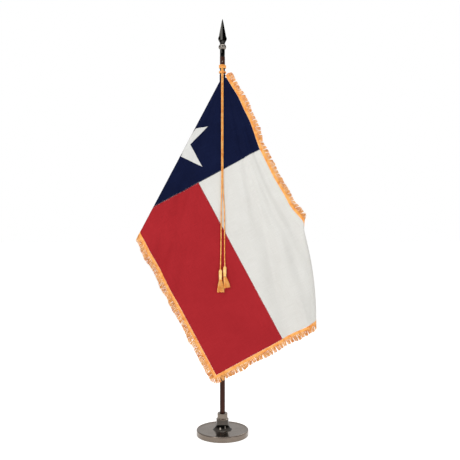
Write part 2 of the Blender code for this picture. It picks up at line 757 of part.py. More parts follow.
def buildFlag():
    half = seamGap / 2
    middle = flagHoist / 2
    blue = [(cornerCut, 0), (blueWidth - half, 0), (blueWidth - half, flagHoist), (0, flagHoist),
            (0, cornerCut)]
    clothPiece("blue_stripe", blue, navyCloth, clothThick)
    clothPiece("white_stripe", rectangle(blueWidth + half, flagLength, 0, middle - half),
               whiteCloth, clothThick)
    clothPiece("red_stripe", rectangle(blueWidth + half, flagLength, middle + half, flagHoist),
               redCloth, clothThick)

    # Five-pointed star with one point towards the top edge, sewn on both faces.
    star = []
    innerRadius = starRadius * math.sin(math.radians(18)) / math.sin(math.radians(54))
    for k in range(10):
        a = math.radians(36 * k)
        reach = starRadius if k % 2 == 0 else innerRadius
        star.append((starAlong + reach * math.sin(a), middle - reach * math.cos(a)))
    height = clothThick / 2 + starLift + starThick / 2
    for name, out in (("front_star", height), ("back_star", -height)):
        clothPiece(name, star, whiteCloth, starThick, out, (starAlong, middle))

    low, high = flagHoist + seamGap, flagHoist + fringeDepth
    far = flagLength + fringeDepth
    clothPiece("fringe_top", rectangle(0.015, flagLength, -fringeDepth, -seamGap), goldFringe,
               fringeThick)
    clothPiece("fringe_fly", rectangle(flagLength + seamGap, far, -fringeDepth, high),
               goldFringe, fringeThick)
    clothPiece("fringe_bottom", rectangle(0, flagLength, low, high), goldFringe, fringeThick)

    # Sleeve: a teardrop tube whose front edge meets the hoist seam.
    radius = poleRadius + sleeveLoose + clothThick / 2
    tip = -seamY - clothThick - fit - 0.0004
    lean = math.acos(radius / tip)
    ring = [(0.0, -tip)]
    for k in range(19):
        a = lean + (math.tau - 2 * lean) * k / 18
        ring.append((radius * math.sin(a), -radius * math.cos(a)))
    bm = bmesh.new()
    top = [bm.verts.new((x, y, -0.002)) for x, y in ring]
    bottom = [bm.verts.new((x, y, -flagHoist)) for x, y in ring]
    for k in range(len(ring)):
        nextOne = (k + 1) % len(ring)
        bm.faces.new((top[k], bottom[k], bottom[nextOne], top[nextOne]))
    bmesh.ops.recalc_face_normals(bm, faces=bm.faces)
    sleeve = meshPiece("flag_sleeve", bm, navyCloth, (0, 0, flagTop), sharp=60)
    wall = sleeve.modifiers.new("cloth", "SOLIDIFY")
    wall.thickness = clothThick
    wall.offset = 0
    wall.use_even_offset = True

    # Leather tab inside the sleeve's front, held by its screw.
    bm = bmesh.new()
    size = Matrix.Diagonal((tabWidth, tabThick, tabLength, 1))
    bmesh.ops.create_cube(bm, size=1, matrix=size)
    spot = (0, -(poleRadius + fit + tabThick / 2), flagTop - 0.003 - tabLength / 2)
    tab = meshPiece("leather_tab", bm, leather, spot)
    screwHeight = flagTop - tabLength * 0.72
    drill(tab, "tab_hole", screwRadius + fit, tabThick * 4, (0, -poleRadius, screwHeight), (0, -1, 0))


# ---------- cord ----------


def wrapStack(name, count, lowest, look):
    # Touching turns of cord as one ring with a rounded bulge for each turn.
    inner = poleRadius + fit
    middle = inner + cordRadius
    outline = [(inner, lowest - cordRadius * 0.7)]
    for k in range(count):
        for a in (-60, 0, 60):
            outline.append((middle + cordRadius * math.cos(math.radians(a)),
                            lowest + k * wrapPitch + cordRadius * math.sin(math.radians(a))))
    outline.append((inner, lowest + (count - 1) * wrapPitch + cordRadius * 0.7))
    return turned(name, outline, look, (0, 0, flagTop), sides=20)


def buildCord():
    hitch = wrapStack("cord_hitch", upperWraps, upperWrapRise, goldCord)
    cutWith(hitch, wrapStack("lower_wraps", lowerWraps, lowerWrapRise, helper), "UNION")
    reach = poleRadius + fit + cordRadius
    for side in (-1, 1):
        # Each strand leaves the upper wraps, crosses over the lower ones and hangs clear.
        low = Vector((side * strandSpacing / 2, -reach - 0.0058, 0.0045))
        high = Vector((side * strandSpacing / 2, -reach - 0.0022, upperWrapRise - 0.002))
        run = high - low
        strand = rod(f"strand_{'left' if side < 0 else 'right'}", cordRadius, run.length, helper,
                     low + Vector((0, 0, flagTop)), run, sides=12)
        cutWith(hitch, strand, "UNION")

    # Routes of the two free legs, from the hitch down the front of the cloth.
    leftStops = [
        (-0.0037, -0.0266, 0.0020), (-0.0038, -0.0340, -0.0070), (-0.0039, -0.0436, -0.0200),
        (-0.0040, -0.0464, -0.0400), (-0.0041, -0.0484, -0.1000), (-0.0042, -0.0512, -0.2000),
        (-0.0042, -0.0540, -0.3000), (-0.0042, -0.0575, -0.4000), (-0.0041, -0.0610, -0.5000),
        (-0.0041, -0.0645, -0.6000), (-0.0042, -0.0680, -0.7000), (-0.0052, -0.0705, -0.7700),
        (-0.0068, -0.0728, -0.8350), (-0.0074, -0.0755, -0.9000), (-0.0078, -0.0795, -1.0000),
        (-0.0088, -0.0838, -1.1000), (-0.0104, -0.0886, -1.1700), (-0.0115, -0.0915, -1.2098)]
    rightStops = [
        (0.0037, -0.0266, 0.0020), (0.0036, -0.0340, -0.0070), (0.0035, -0.0436, -0.0200),
        (0.0034, -0.0464, -0.0400), (0.0033, -0.0484, -0.1000), (0.0032, -0.0512, -0.2000),
        (0.0032, -0.0540, -0.3000), (0.0032, -0.0575, -0.4000), (0.0033, -0.0610, -0.5000),
        (0.0034, -0.0645, -0.6000), (0.0040, -0.0680, -0.7000), (0.0075, -0.0705, -0.7700),
        (0.0118, -0.0728, -0.8350), (0.0134, -0.0755, -0.9000), (0.0136, -0.0795, -1.0000),
        (0.0140, -0.0838, -1.1000), (0.0148, -0.0878, -1.1550), (0.0153, -0.0907, -1.1903)]
    legs = (("left", -1, leftStops, leftSkirtRadius, leftSkirtLength, 2.2),
            ("right", 1, rightStops, rightSkirtRadius, rightSkirtLength, 13.5))
    for side, sign, stops, skirtRadius, skirtLength, skirtLean in legs:
        # The whole route moves with the hitch's strand that it carries on from.
        start = Vector((sign * strandSpacing / 2, -reach - legAhead, stops[0][2]))
        stops = [Vector(s) - Vector(stops[0]) + start for s in stops]
        swing = pivot(f"{side}_cord_pivot", stops[0] + Vector((0, 0, flagTop)))
        cordTube(f"{side}_cord", [s - stops[0] for s in stops], goldCord,
                 (0, 0, 0), swing)
        tassel = pivot(f"{side}_tassel_pivot", stops[-1] - stops[0], swing)
        tassel.rotation_euler = (math.radians(-3.2), 0, 0)
        r, length = headRadius, headLength
        turned(f"{side}_tassel_head", [
            (0, -fit), (r * 0.72, -0.0066), (r * 0.96, -0.0110),
            (r, -0.018), (r, -length + 0.018), (r * 0.90, -length + 0.010),
            (r * 0.86, -length + 0.006), (r * 0.95, -length), (0, -length)], goldCord,
            parent=tassel, sides=16)
        # The skirt leans on its own, from the head's foot.
        skirt = turned(f"{side}_tassel_skirt", [
            (0, 0), (r * 0.95, 0), (r * 1.12, -0.006), (skirtRadius * 0.70, -skirtLength * 0.35),
            (skirtRadius * 0.92, -skirtLength * 0.72), (skirtRadius, -skirtLength),
            (0, -skirtLength)], goldFringe, (0, 0, -length - fit - r * math.sin(math.radians(skirtLean))),
            tassel, sides=20)
        skirt.data.transform(Matrix.Diagonal((1, skirtFlat, 1, 1)))
        skirt.rotation_euler = (0, math.radians(-skirtLean), 0)


buildStand()
buildClamp()
buildPole()
buildFinial()
buildFlag()
buildCord()
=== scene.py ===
# Indoor flag set: a fringed nylon flag hung from its top corner on a two-piece oak pole,
# with a cord and two tassels, a plated spear finial and a weighted plated stand.
# Metres, +Z up, the floor at z = 0, the pole on the Z axis and -Y the front.

import math

import bmesh
import bpy
import numpy as np
from mathutils import Matrix, Vector


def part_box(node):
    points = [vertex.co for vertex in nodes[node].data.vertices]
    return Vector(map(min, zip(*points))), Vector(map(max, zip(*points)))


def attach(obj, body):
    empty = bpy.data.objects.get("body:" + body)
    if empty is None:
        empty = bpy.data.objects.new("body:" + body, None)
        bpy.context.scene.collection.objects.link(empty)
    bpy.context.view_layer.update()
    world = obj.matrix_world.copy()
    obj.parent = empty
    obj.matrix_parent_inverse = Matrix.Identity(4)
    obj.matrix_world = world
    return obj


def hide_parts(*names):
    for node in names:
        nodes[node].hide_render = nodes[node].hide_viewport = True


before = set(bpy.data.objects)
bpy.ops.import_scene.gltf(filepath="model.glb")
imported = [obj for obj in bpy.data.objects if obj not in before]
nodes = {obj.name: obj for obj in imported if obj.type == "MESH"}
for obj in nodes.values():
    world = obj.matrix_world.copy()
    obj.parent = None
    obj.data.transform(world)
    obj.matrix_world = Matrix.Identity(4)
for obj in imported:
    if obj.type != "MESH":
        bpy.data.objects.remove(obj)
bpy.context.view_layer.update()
scene = bpy.context.scene


# Places that every piece is set out from
spots = {
    "poleRadius": 0.015875,
    "poleTop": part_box("finial_ferrule")[1][2],
    "jointHeight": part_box("lower_joint_ferrule")[1][2],
    "upperFoot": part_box("upper_joint_ferrule")[0][2],
    "flagTop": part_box("finial_ferrule")[1][2] - 0.1535,
    "fit": 0.0003,
}
poleRadius = spots["poleRadius"]
poleTop = spots["poleTop"]
flagTop = spots["flagTop"]
fit = spots["fit"]


# Camera level with the middle of the set, straight on
view = {"place": (0.047, -3.87, 1.278), "lens": 48.46, "sensor": 36.0}
cameraData = bpy.data.cameras.new("front camera")
cameraData.lens = view["lens"]
cameraData.sensor_width = view["sensor"]
camera = bpy.data.objects.new("front camera", cameraData)
camera.location = view["place"]
camera.rotation_euler = (math.radians(90), 0, 0)
scene.collection.objects.link(camera)
scene.camera = camera


# Small helpers

def ease(share):
    share = np.clip(share, 0.0, 1.0)
    return share * share * (3 - 2 * share)


def hexColour(code):
    # sRGB hex to the linear values that a shader takes
    parts = [int(code[k:k + 2], 16) / 255 for k in (1, 3, 5)]
    linear = [c / 12.92 if c <= 0.04045 else ((c + 0.055) / 1.055) ** 2.4 for c in parts]
    return (*linear, 1.0)


def addNode(tree, kind, inputs=None, **settings):
    node = tree.nodes.new(kind)
    for key, value in settings.items():
        setattr(node, key, value)
    for key, value in (inputs or {}).items():
        if isinstance(value, bpy.types.NodeSocket):
            tree.links.new(value, node.inputs[key])
        else:
            node.inputs[key].default_value = value
    return node


def paintRamp(ramp, *stops):
    # Colours along a ramp, each given as its place and an sRGB hex
    ramp.elements.remove(ramp.elements[1])
    for count, (place, code) in enumerate(stops):
        element = ramp.elements.new(place) if count else ramp.elements[0]
        element.position = place
        element.color = hexColour(code)


def startMaterial(name, **constants):
    material = bpy.data.materials.new(name)
    material.use_nodes = True
    tree = material.node_tree
    shader = tree.nodes["Principled BSDF"]
    for key, value in constants.items():
        shader.inputs[key].default_value = value
    return material, tree, shader


def placeMesh(name, points, faces, material, uv=None, sharp=None):
    mesh = bpy.data.meshes.new(name)
    mesh.from_pydata([tuple(p) for p in points], [], [tuple(f) for f in faces])
    if uv is not None:
        layer = mesh.uv_layers.new(name="flat")
        corners = np.empty(len(mesh.loops), np.int32)
        mesh.loops.foreach_get("vertex_index", corners)
        layer.data.foreach_set("uv", np.asarray(uv)[corners].ravel())
    mesh.materials.append(material)
    mesh.shade_smooth()
    if sharp:
        mesh.set_sharp_from_angle(angle=math.radians(sharp))
    piece = bpy.data.objects.new(name, mesh)
    scene.collection.objects.link(piece)
    return piece


def tidyNormals(piece):
    bm = bmesh.new()
    bm.from_mesh(piece.data)
    bmesh.ops.remove_doubles(bm, verts=bm.verts, dist=1e-6)
    bmesh.ops.dissolve_degenerate(bm, edges=bm.edges, dist=1e-7)
    bmesh.ops.recalc_face_normals(bm, faces=bm.faces)
    bm.to_mesh(piece.data)
    bm.free()


def ringFaces(rings, around, first=0):
    # Faces between each closed ring of points and the next
    faces = []
    for ringAt in range(rings - 1):
        for k in range(around):
            a, b = first + ringAt * around + k, first + ringAt * around + (k + 1) % around
            faces.append((a, b, b + around, a + around))
    return faces


def carry(piece, body, slot, *stands):
    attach(piece, body)
    if stands:
        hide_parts(*stands)


def smoothRoute(stops, step):
    # Smooth curve through the stops, read off at equal steps
    stops = [np.array(s, float) for s in stops]
    held = [2 * stops[0] - stops[1], *stops, 2 * stops[-1] - stops[-2]]
    fine = []
    for a, b, c, d in zip(held, held[1:], held[2:], held[3:]):
        for t in np.linspace(0, 1, 12, endpoint=False):
            fine.append(0.5 * (2 * b + (c - a) * t + (2 * a - 5 * b + 4 * c - d) * t**2
                               + (3 * b - a - 3 * c + d) * t**3))
    fine = np.array([*fine, stops[-1]])
    along = np.concatenate([[0], np.cumsum(np.linalg.norm(np.diff(fine, axis=0), axis=1))])
    at = np.linspace(0, along[-1], max(2, round(along[-1] / step)) + 1)
    return np.stack([np.interp(at, along, fine[:, k]) for k in range(3)], axis=1)


def startTree(name, **inputs):
    # A geometry tree with a geometry in and out, named sizes with their first values, a material
    tree = bpy.data.node_groups.new(name, "GeometryNodeTree")
    face = tree.interface
    face.new_socket("Geometry", in_out="INPUT", socket_type="NodeSocketGeometry")
    for label, value in inputs.items():
        kind = "NodeSocketInt" if isinstance(value, int) else "NodeSocketFloat"
        face.new_socket(label, in_out="INPUT", socket_type=kind).default_value = value
    face.new_socket("Material", in_out="INPUT", socket_type="NodeSocketMaterial")
    face.new_socket("Geometry", in_out="OUTPUT", socket_type="NodeSocketGeometry")
    return tree, addNode(tree, "NodeGroupInput").outputs


# Geometry Nodes: a yarn or cord twisted along every path of a mesh of edges

def makeStrandTree():
    tree, given = startTree("twisted strands", Radius=0.001, Groove=0.2, Plies=2.0, Turns=100.0,
                            Sides=8)
    paths = addNode(tree, "GeometryNodeMeshToCurve", {"Mesh": given["Geometry"]})
    width = addNode(tree, "GeometryNodeInputNamedAttribute", {"Name": "width"}, data_type="FLOAT")
    run = addNode(tree, "GeometryNodeSplineParameter")
    twist = addNode(tree, "ShaderNodeMath", {0: run.outputs["Length"], 1: given["Turns"]},
                    operation="MULTIPLY")
    start = addNode(tree, "GeometryNodeInputNamedAttribute", {"Name": "start"}, data_type="FLOAT")
    whole = addNode(tree, "ShaderNodeMath", {0: twist.outputs[0], 1: start.outputs["Attribute"]},
                    operation="ADD")
    tilted = addNode(tree, "GeometryNodeSetCurveTilt",
                     {"Curve": paths.outputs[0], "Tilt": whole.outputs[0]})
    ring = addNode(tree, "GeometryNodeCurvePrimitiveCircle",
                   {"Resolution": given["Sides"], "Radius": given["Radius"]})
    # A groove between each ply and the next, from the angle round the ring
    place = addNode(tree, "GeometryNodeInputPosition")
    split = addNode(tree, "ShaderNodeSeparateXYZ", {0: place.outputs[0]})
    angle = addNode(tree, "ShaderNodeMath", {0: split.outputs[1], 1: split.outputs[0]},
                    operation="ARCTAN2")
    half = addNode(tree, "ShaderNodeMath", {0: given["Plies"], 1: 0.5}, operation="MULTIPLY")
    lobe = addNode(tree, "ShaderNodeMath", {0: angle.outputs[0], 1: half.outputs[0]},
                   operation="MULTIPLY")
    wave = addNode(tree, "ShaderNodeMath", {0: lobe.outputs[0]}, operation="COSINE")
    bulge = addNode(tree, "ShaderNodeMath", {0: wave.outputs[0]}, operation="ABSOLUTE")
    dip = addNode(tree, "ShaderNodeMath", {0: 1.0, 1: bulge.outputs[0]}, operation="SUBTRACT")
    cut = addNode(tree, "ShaderNodeMath", {0: dip.outputs[0], 1: given["Groove"]},
                  operation="MULTIPLY")
    keep = addNode(tree, "ShaderNodeMath", {0: 1.0, 1: cut.outputs[0]}, operation="SUBTRACT")
    pulled = addNode(tree, "ShaderNodeVectorMath", {0: place.outputs[0], "Scale": keep.outputs[0]},
                     operation="SCALE")
    plied = addNode(tree, "GeometryNodeSetPosition",
                    {"Geometry": ring.outputs[0], "Position": pulled.outputs[0]})
    tube = addNode(tree, "GeometryNodeCurveToMesh",
                   {"Curve": tilted.outputs[0], "Profile Curve": plied.outputs[0],
                    "Scale": width.outputs["Attribute"], "Fill Caps": True})
    smooth = addNode(tree, "GeometryNodeSetShadeSmooth", {"Geometry": tube.outputs[0]})
    real = addNode(tree, "GeometryNodeRealizeInstances", {0: smooth.outputs[0]})
    done = addNode(tree, "GeometryNodeSetMaterial",
                   {"Geometry": real.outputs[0], "Material": given["Material"]})
    addNode(tree, "NodeGroupOutput", {0: done.outputs[0]})
    return tree


# Geometry Nodes: one short stitch at every point, laid along the seam

def makeStitchTree():
    tree, given = startTree("lockstitches", Length=0.003, Thread=0.0003)
    spotsOnly = addNode(tree, "GeometryNodeMeshToPoints", {"Mesh": given["Geometry"]})
    bead = addNode(tree, "GeometryNodeMeshUVSphere",
                   {"Segments": 6, "Rings": 4, "Radius": 1.0})
    run = addNode(tree, "ShaderNodeMath", {0: given["Length"], 1: 0.5}, operation="MULTIPLY")
    size = addNode(tree, "ShaderNodeCombineXYZ",
                   {0: given["Thread"], 1: given["Thread"], 2: run.outputs[0]})
    way = addNode(tree, "GeometryNodeInputNamedAttribute", {"Name": "along"},
                  data_type="FLOAT_VECTOR")
    turned = addNode(tree, "FunctionNodeAlignRotationToVector",
                     {"Vector": way.outputs["Attribute"]}, axis="Z")
    laid = addNode(tree, "GeometryNodeInstanceOnPoints",
                   {"Points": spotsOnly.outputs[0], "Instance": bead.outputs[0],
                    "Rotation": turned.outputs[0], "Scale": size.outputs[0]})
    real = addNode(tree, "GeometryNodeRealizeInstances", {0: laid.outputs[0]})
    smooth = addNode(tree, "GeometryNodeSetShadeSmooth", {"Geometry": real.outputs[0]})
    done = addNode(tree, "GeometryNodeSetMaterial",
                   {"Geometry": smooth.outputs[0], "Material": given["Material"]})
    addNode(tree, "NodeGroupOutput", {0: done.outputs[0]})
    return tree


strandTree = makeStrandTree()
stitchTree = makeStitchTree()


def grow(name, mesh, tree, values):
    # Runs a tree on a mesh of paths or points and keeps the plain mesh that comes out
    seed = bpy.data.objects.new(name + " paths", mesh)
    scene.collection.objects.link(seed)
    step = seed.modifiers.new("grow", "NODES")
    step.node_group = tree
    for item in tree.interface.items_tree:
        if item.item_type == "SOCKET" and item.in_out == "INPUT" and item.name in values:
            step[item.identifier] = values[item.name]
    ready = seed.evaluated_get(bpy.context.evaluated_depsgraph_get())
    grown = bpy.data.meshes.new_from_object(ready)
    bpy.data.objects.remove(seed)
    grown.name = name
    piece = bpy.data.objects.new(name, grown)
    scene.collection.objects.link(piece)
    return piece


def pathMesh(paths, widths, starts):
    # One chain of edges for each path, with its width and its starting twist
    mesh = bpy.data.meshes.new("paths")
    points, edges, wide, begin = [], [], [], []
    for path, width, first in zip(paths, widths, starts):
        base = len(points)
        points += [tuple(p) for p in path]
        edges += [(base + k, base + k + 1) for k in range(len(path) - 1)]
        wide += list(np.broadcast_to(width, len(path)))
        begin += [first] * len(path)
    mesh.from_pydata(points, edges, [])
    for label, values in (("width", wide), ("start", begin)):
        layer = mesh.attributes.new(label, "FLOAT", "POINT")
        layer.data.foreach_set("value", np.array(values, np.float32))
    return mesh


# Materials

def clothMaterial(name, body, deep, edge, lift=0.35):
    # Heavy nylon taffeta, plain woven and dyed: a soft even sheen, a fine basket of crossing
    # yarns with thicker slubs, and a darker tone where folds turn away. Real yarns lie 0.25 mm
    # apart, which would not show, so they are drawn 1.1 mm apart.
    material, tree, shader = startMaterial(name, **{"Roughness": 0.62, "IOR": 1.5,
                                                    "Sheen Weight": 0.006, "Sheen Roughness": 0.5,
                                                    "Specular IOR Level": 0.03})
    yarns = math.tau / 0.0011
    flat = addNode(tree, "ShaderNodeUVMap", uv_map="flat")
    split = addNode(tree, "ShaderNodeSeparateXYZ", {0: flat.outputs[0]})
    waves = []
    for axis in (0, 1):
        scaled = addNode(tree, "ShaderNodeMath", {0: split.outputs[axis], 1: yarns},
                         operation="MULTIPLY")
        waves.append(addNode(tree, "ShaderNodeMath", {0: scaled.outputs[0]}, operation="SINE"))
    crossing = addNode(tree, "ShaderNodeMath", {0: waves[0].outputs[0], 1: waves[1].outputs[0]},
                       operation="MULTIPLY")
    slubStretch = addNode(tree, "ShaderNodeMapping", {"Vector": flat.outputs[0],
                                                      "Scale": (14.0, 700.0, 1.0)})
    slubs = addNode(tree, "ShaderNodeTexNoise", {"Vector": slubStretch.outputs[0], "Scale": 1.0,
                                                 "Detail": 2.0})
    warpStretch = addNode(tree, "ShaderNodeMapping", {"Vector": flat.outputs[0],
                                                      "Scale": (700.0, 14.0, 1.0)})
    warp = addNode(tree, "ShaderNodeTexNoise", {"Vector": warpStretch.outputs[0], "Scale": 1.0,
                                                "Detail": 2.0})
    thread = addNode(tree, "ShaderNodeMath", {0: slubs.outputs[0], 1: warp.outputs[0]},
                     operation="ADD")
    clouds = addNode(tree, "ShaderNodeTexNoise", {"Vector": flat.outputs[0], "Scale": 5.0,
                                                  "Detail": 2.0})
    soft = addNode(tree, "ShaderNodeMath", {0: clouds.outputs[0], 1: 0.35}, operation="MULTIPLY")
    uneven = addNode(tree, "ShaderNodeMath", {0: thread.outputs[0], 1: 0.65, 2: soft.outputs[0]},
                     operation="MULTIPLY_ADD")
    tone = addNode(tree, "ShaderNodeValToRGB", {0: uneven.outputs[0]})
    paintRamp(tone.color_ramp, (0.62, deep), (0.82, body), (1.0, edge))
    tree.links.new(tone.outputs[0], shader.inputs["Base Color"])
    height = addNode(tree, "ShaderNodeMath", {0: thread.outputs[0], 1: 0.9,
                                              2: crossing.outputs[0]}, operation="MULTIPLY_ADD")
    bump = addNode(tree, "ShaderNodeBump", {"Height": height.outputs[0], "Strength": lift,
                                            "Distance": 0.00012})
    tree.links.new(bump.outputs[0], shader.inputs["Normal"])
    return material


def rayonMaterial(name, body, deep, light, pitch, roughness=0.5):
    # Bright rayon, twisted or woven: silky highlights along the fibre from its sheen. Its colour
    # follows the same fine noise as its relief, so the raised fibres carry a painted highlight and the
    # hollows a painted amber shade, over a tone that varies at random along the strands.
    # Single filaments are 0.02 mm, drawn as streaks at the given pitch.
    material, tree, shader = startMaterial(name, **{"Roughness": roughness, "IOR": 1.52,
                                                    "Sheen Weight": 0.35, "Sheen Roughness": 0.35})
    where = addNode(tree, "ShaderNodeTexCoord")
    coarse = addNode(tree, "ShaderNodeTexNoise", {"Vector": where.outputs["Object"],
                                                  "Scale": 38.0, "Detail": 3.0})
    fine = addNode(tree, "ShaderNodeTexNoise", {"Vector": where.outputs["Object"],
                                                "Scale": 1.0 / pitch, "Detail": 2.0})
    mixed = addNode(tree, "ShaderNodeMath", {0: fine.outputs[0], 1: 0.8, 2: coarse.outputs[0]},
                    operation="MULTIPLY_ADD")
    # Painted shade and highlight: where the fine noise is low the relief dips and the colour goes to
    # the deep amber; where it is high the relief rises and the colour goes light.
    tone = addNode(tree, "ShaderNodeValToRGB", {0: mixed.outputs[0]})
    paintRamp(tone.color_ramp, (0.62, deep), (0.84, body), (1.0, light))
    tree.links.new(tone.outputs[0], shader.inputs["Base Color"])
    bump = addNode(tree, "ShaderNodeBump", {"Height": fine.outputs[0], "Strength": 0.5,
                                            "Distance": 0.0002})
    tree.links.new(bump.outputs[0], shader.inputs["Normal"])
    return material


def platedMaterial(name, body, smear, roughness, scratch, spun=0.0):
    # Nickel and chrome plate over spun or cast metal: mirror-like with faint hairline wiping
    # marks, a little cloudier where hands and dust reach it.
    material, tree, shader = startMaterial(name, **{"Metallic": 1.0})
    where = addNode(tree, "ShaderNodeTexCoord")
    cloud = addNode(tree, "ShaderNodeTexNoise", {"Vector": where.outputs["Object"], "Scale": 21.0,
                                                 "Detail": 5.0})
    tone = addNode(tree, "ShaderNodeMix", {"Factor": cloud.outputs[0], "A": hexColour(body),
                                           "B": hexColour(smear)}, data_type="RGBA")
    tree.links.new(tone.outputs["Result"], shader.inputs["Base Color"])
    polish = addNode(tree, "ShaderNodeMapRange", {"Value": cloud.outputs[0], "From Min": 0.3,
                                                  "From Max": 0.75, "To Min": roughness,
                                                  "To Max": roughness + 0.09})
    tree.links.new(polish.outputs[0], shader.inputs["Roughness"])
    split = addNode(tree, "ShaderNodeSeparateXYZ", {0: where.outputs["Object"]})
    flat = addNode(tree, "ShaderNodeCombineXYZ", {0: split.outputs[0], 1: split.outputs[1]})
    radius = addNode(tree, "ShaderNodeVectorMath", {0: flat.outputs[0]}, operation="LENGTH")
    # Turning marks 0.4 mm apart, drawn 1.2 mm apart so that they show as a soft spun lustre
    marks = addNode(tree, "ShaderNodeMath", {0: radius.outputs["Value"], 1: math.tau / 0.0012},
                    operation="MULTIPLY")
    rings = addNode(tree, "ShaderNodeMath", {0: marks.outputs[0]}, operation="SINE")
    hair = addNode(tree, "ShaderNodeTexNoise", {"Vector": where.outputs["Object"],
                                                "Scale": 900.0, "Detail": 2.0})
    height = addNode(tree, "ShaderNodeMath", {0: rings.outputs[0], 1: spun, 2: hair.outputs[0]},
                     operation="MULTIPLY_ADD")
    bump = addNode(tree, "ShaderNodeBump", {"Height": height.outputs[0], "Strength": scratch,
                                            "Distance": 0.00005})
    tree.links.new(bump.outputs[0], shader.inputs["Normal"])
    return material


def oakMaterial():
    # Red oak dowel, stained dark and lacquered: long open pores up the grain under a clear coat
    material, tree, shader = startMaterial("stained lacquered oak", **{
        "Roughness": 0.45, "IOR": 1.45, "Specular IOR Level": 0.1, "Coat Weight": 0.10,
        "Coat Roughness": 0.2})
    where = addNode(tree, "ShaderNodeTexCoord")
    grainSpace = addNode(tree, "ShaderNodeMapping", {"Vector": where.outputs["Object"],
                                                     "Scale": (260.0, 260.0, 5.5)})
    grain = addNode(tree, "ShaderNodeTexNoise", {"Vector": grainSpace.outputs[0], "Scale": 1.0,
                                                 "Detail": 6.0, "Roughness": 0.62})
    figureSpace = addNode(tree, "ShaderNodeMapping", {"Vector": where.outputs["Object"],
                                                      "Scale": (55.0, 55.0, 1.3)})
    figure = addNode(tree, "ShaderNodeTexNoise", {"Vector": figureSpace.outputs[0], "Scale": 1.0,
                                                  "Detail": 3.0, "Distortion": 0.6})
    # Oak pores are 0.3 mm wide and up to 20 mm long; drawn 0.6 mm wide to show
    poreSpace = addNode(tree, "ShaderNodeMapping", {"Vector": where.outputs["Object"],
                                                    "Scale": (1600.0, 1600.0, 70.0)})
    pores = addNode(tree, "ShaderNodeTexNoise", {"Vector": poreSpace.outputs[0], "Scale": 1.0,
                                                 "Detail": 1.0})
    mixed = addNode(tree, "ShaderNodeMath", {0: figure.outputs[0], 1: 0.7, 2: grain.outputs[0]},
                    operation="MULTIPLY_ADD")
    tone = addNode(tree, "ShaderNodeValToRGB", {0: mixed.outputs[0]})
    paintRamp(tone.color_ramp, (0.55, "#1c0e0a"), (0.8, "#371c14"), (1.0, "#4e281b"))
    pit = addNode(tree, "ShaderNodeMapRange", {"Value": pores.outputs[0], "From Min": 0.30,
                                               "From Max": 0.42, "To Min": 0.0, "To Max": 1.0})
    dark = addNode(tree, "ShaderNodeMix", {"Factor": pit.outputs[0], "A": hexColour("#170a08"),
                                           "B": tone.outputs[0]}, data_type="RGBA")
    tree.links.new(dark.outputs["Result"], shader.inputs["Base Color"])
    bump = addNode(tree, "ShaderNodeBump", {"Height": pit.outputs[0], "Strength": 0.35,
                                            "Distance": 0.00015})
    tree.links.new(bump.outputs[0], shader.inputs["Normal"])
    return material


def grainyMaterial(name, body, deep, size, depth, **constants):
    # Plain materials that differ in grit: their colour and relief follow the same grain
    material, tree, shader = startMaterial(name, **constants)
    where = addNode(tree, "ShaderNodeTexCoord")
    grit = addNode(tree, "ShaderNodeTexNoise", {"Vector": where.outputs["Object"],
                                                "Scale": 1.0 / size, "Detail": 4.0})
    blotch = addNode(tree, "ShaderNodeTexNoise", {"Vector": where.outputs["Object"],
                                                  "Scale": 0.12 / size, "Detail": 3.0})
    mixed = addNode(tree, "ShaderNodeMath", {0: grit.outputs[0], 1: blotch.outputs[0]},
                    operation="MULTIPLY")
    tone = addNode(tree, "ShaderNodeValToRGB", {0: mixed.outputs[0]})
    paintRamp(tone.color_ramp, (0.12, deep), (0.38, body))
    tree.links.new(tone.outputs[0], shader.inputs["Base Color"])
    bump = addNode(tree, "ShaderNodeBump", {"Height": grit.outputs[0], "Strength": 0.5,
                                            "Distance": depth})
    tree.links.new(bump.outputs[0], shader.inputs["Normal"])
    return material


navyCloth = clothMaterial("navy nylon taffeta", "#0f1634", "#0c122b", "#141c3b")
whiteCloth = clothMaterial("white nylon taffeta", "#d7d6d1", "#d1cfca", "#dddcd8")
redCloth = clothMaterial("red nylon taffeta", "#a4262c", "#9b2329", "#ab2a30")
starCloth = clothMaterial("white applique nylon", "#d3d3d0", "#cecdca", "#dadad7")
# Each rayon finish gives its body colour, then the painted shade of its hollows, then the painted
# highlight of its raised fibres.
bullion = rayonMaterial("gold rayon bullion fringe", "#eb9c46", "#c86c2c", "#f9ba6c", 0.0011)
braid = rayonMaterial("gold woven fringe header", "#f7a042", "#de8230", "#ffb964", 0.0014)
ropeGold = rayonMaterial("gold rayon cord", "#fca53e", "#d87a2a", "#ffc06a", 0.0012)
tasselGold = rayonMaterial("gold wound rayon", "#ffcf78", "#f6b85c", "#ffdc98", 0.0013)
dishPlate = platedMaterial("spun nickel plate", "#80756b", "#70665d", 0.12, 0.10, 0.8)
# The neck's copy of the nickel plate has a darker base colour than the dish's: painted dark reflection,
# standing in for the dark room that the chrome neck mirrors.
darkenedNeckPlate = platedMaterial("polished nickel plate with painted dark reflection", "#504b46", "#423e3a", 0.04, 0.05)
polePlate = platedMaterial("bright nickel plate", "#8d877f", "#716b64", 0.10, 0.06)
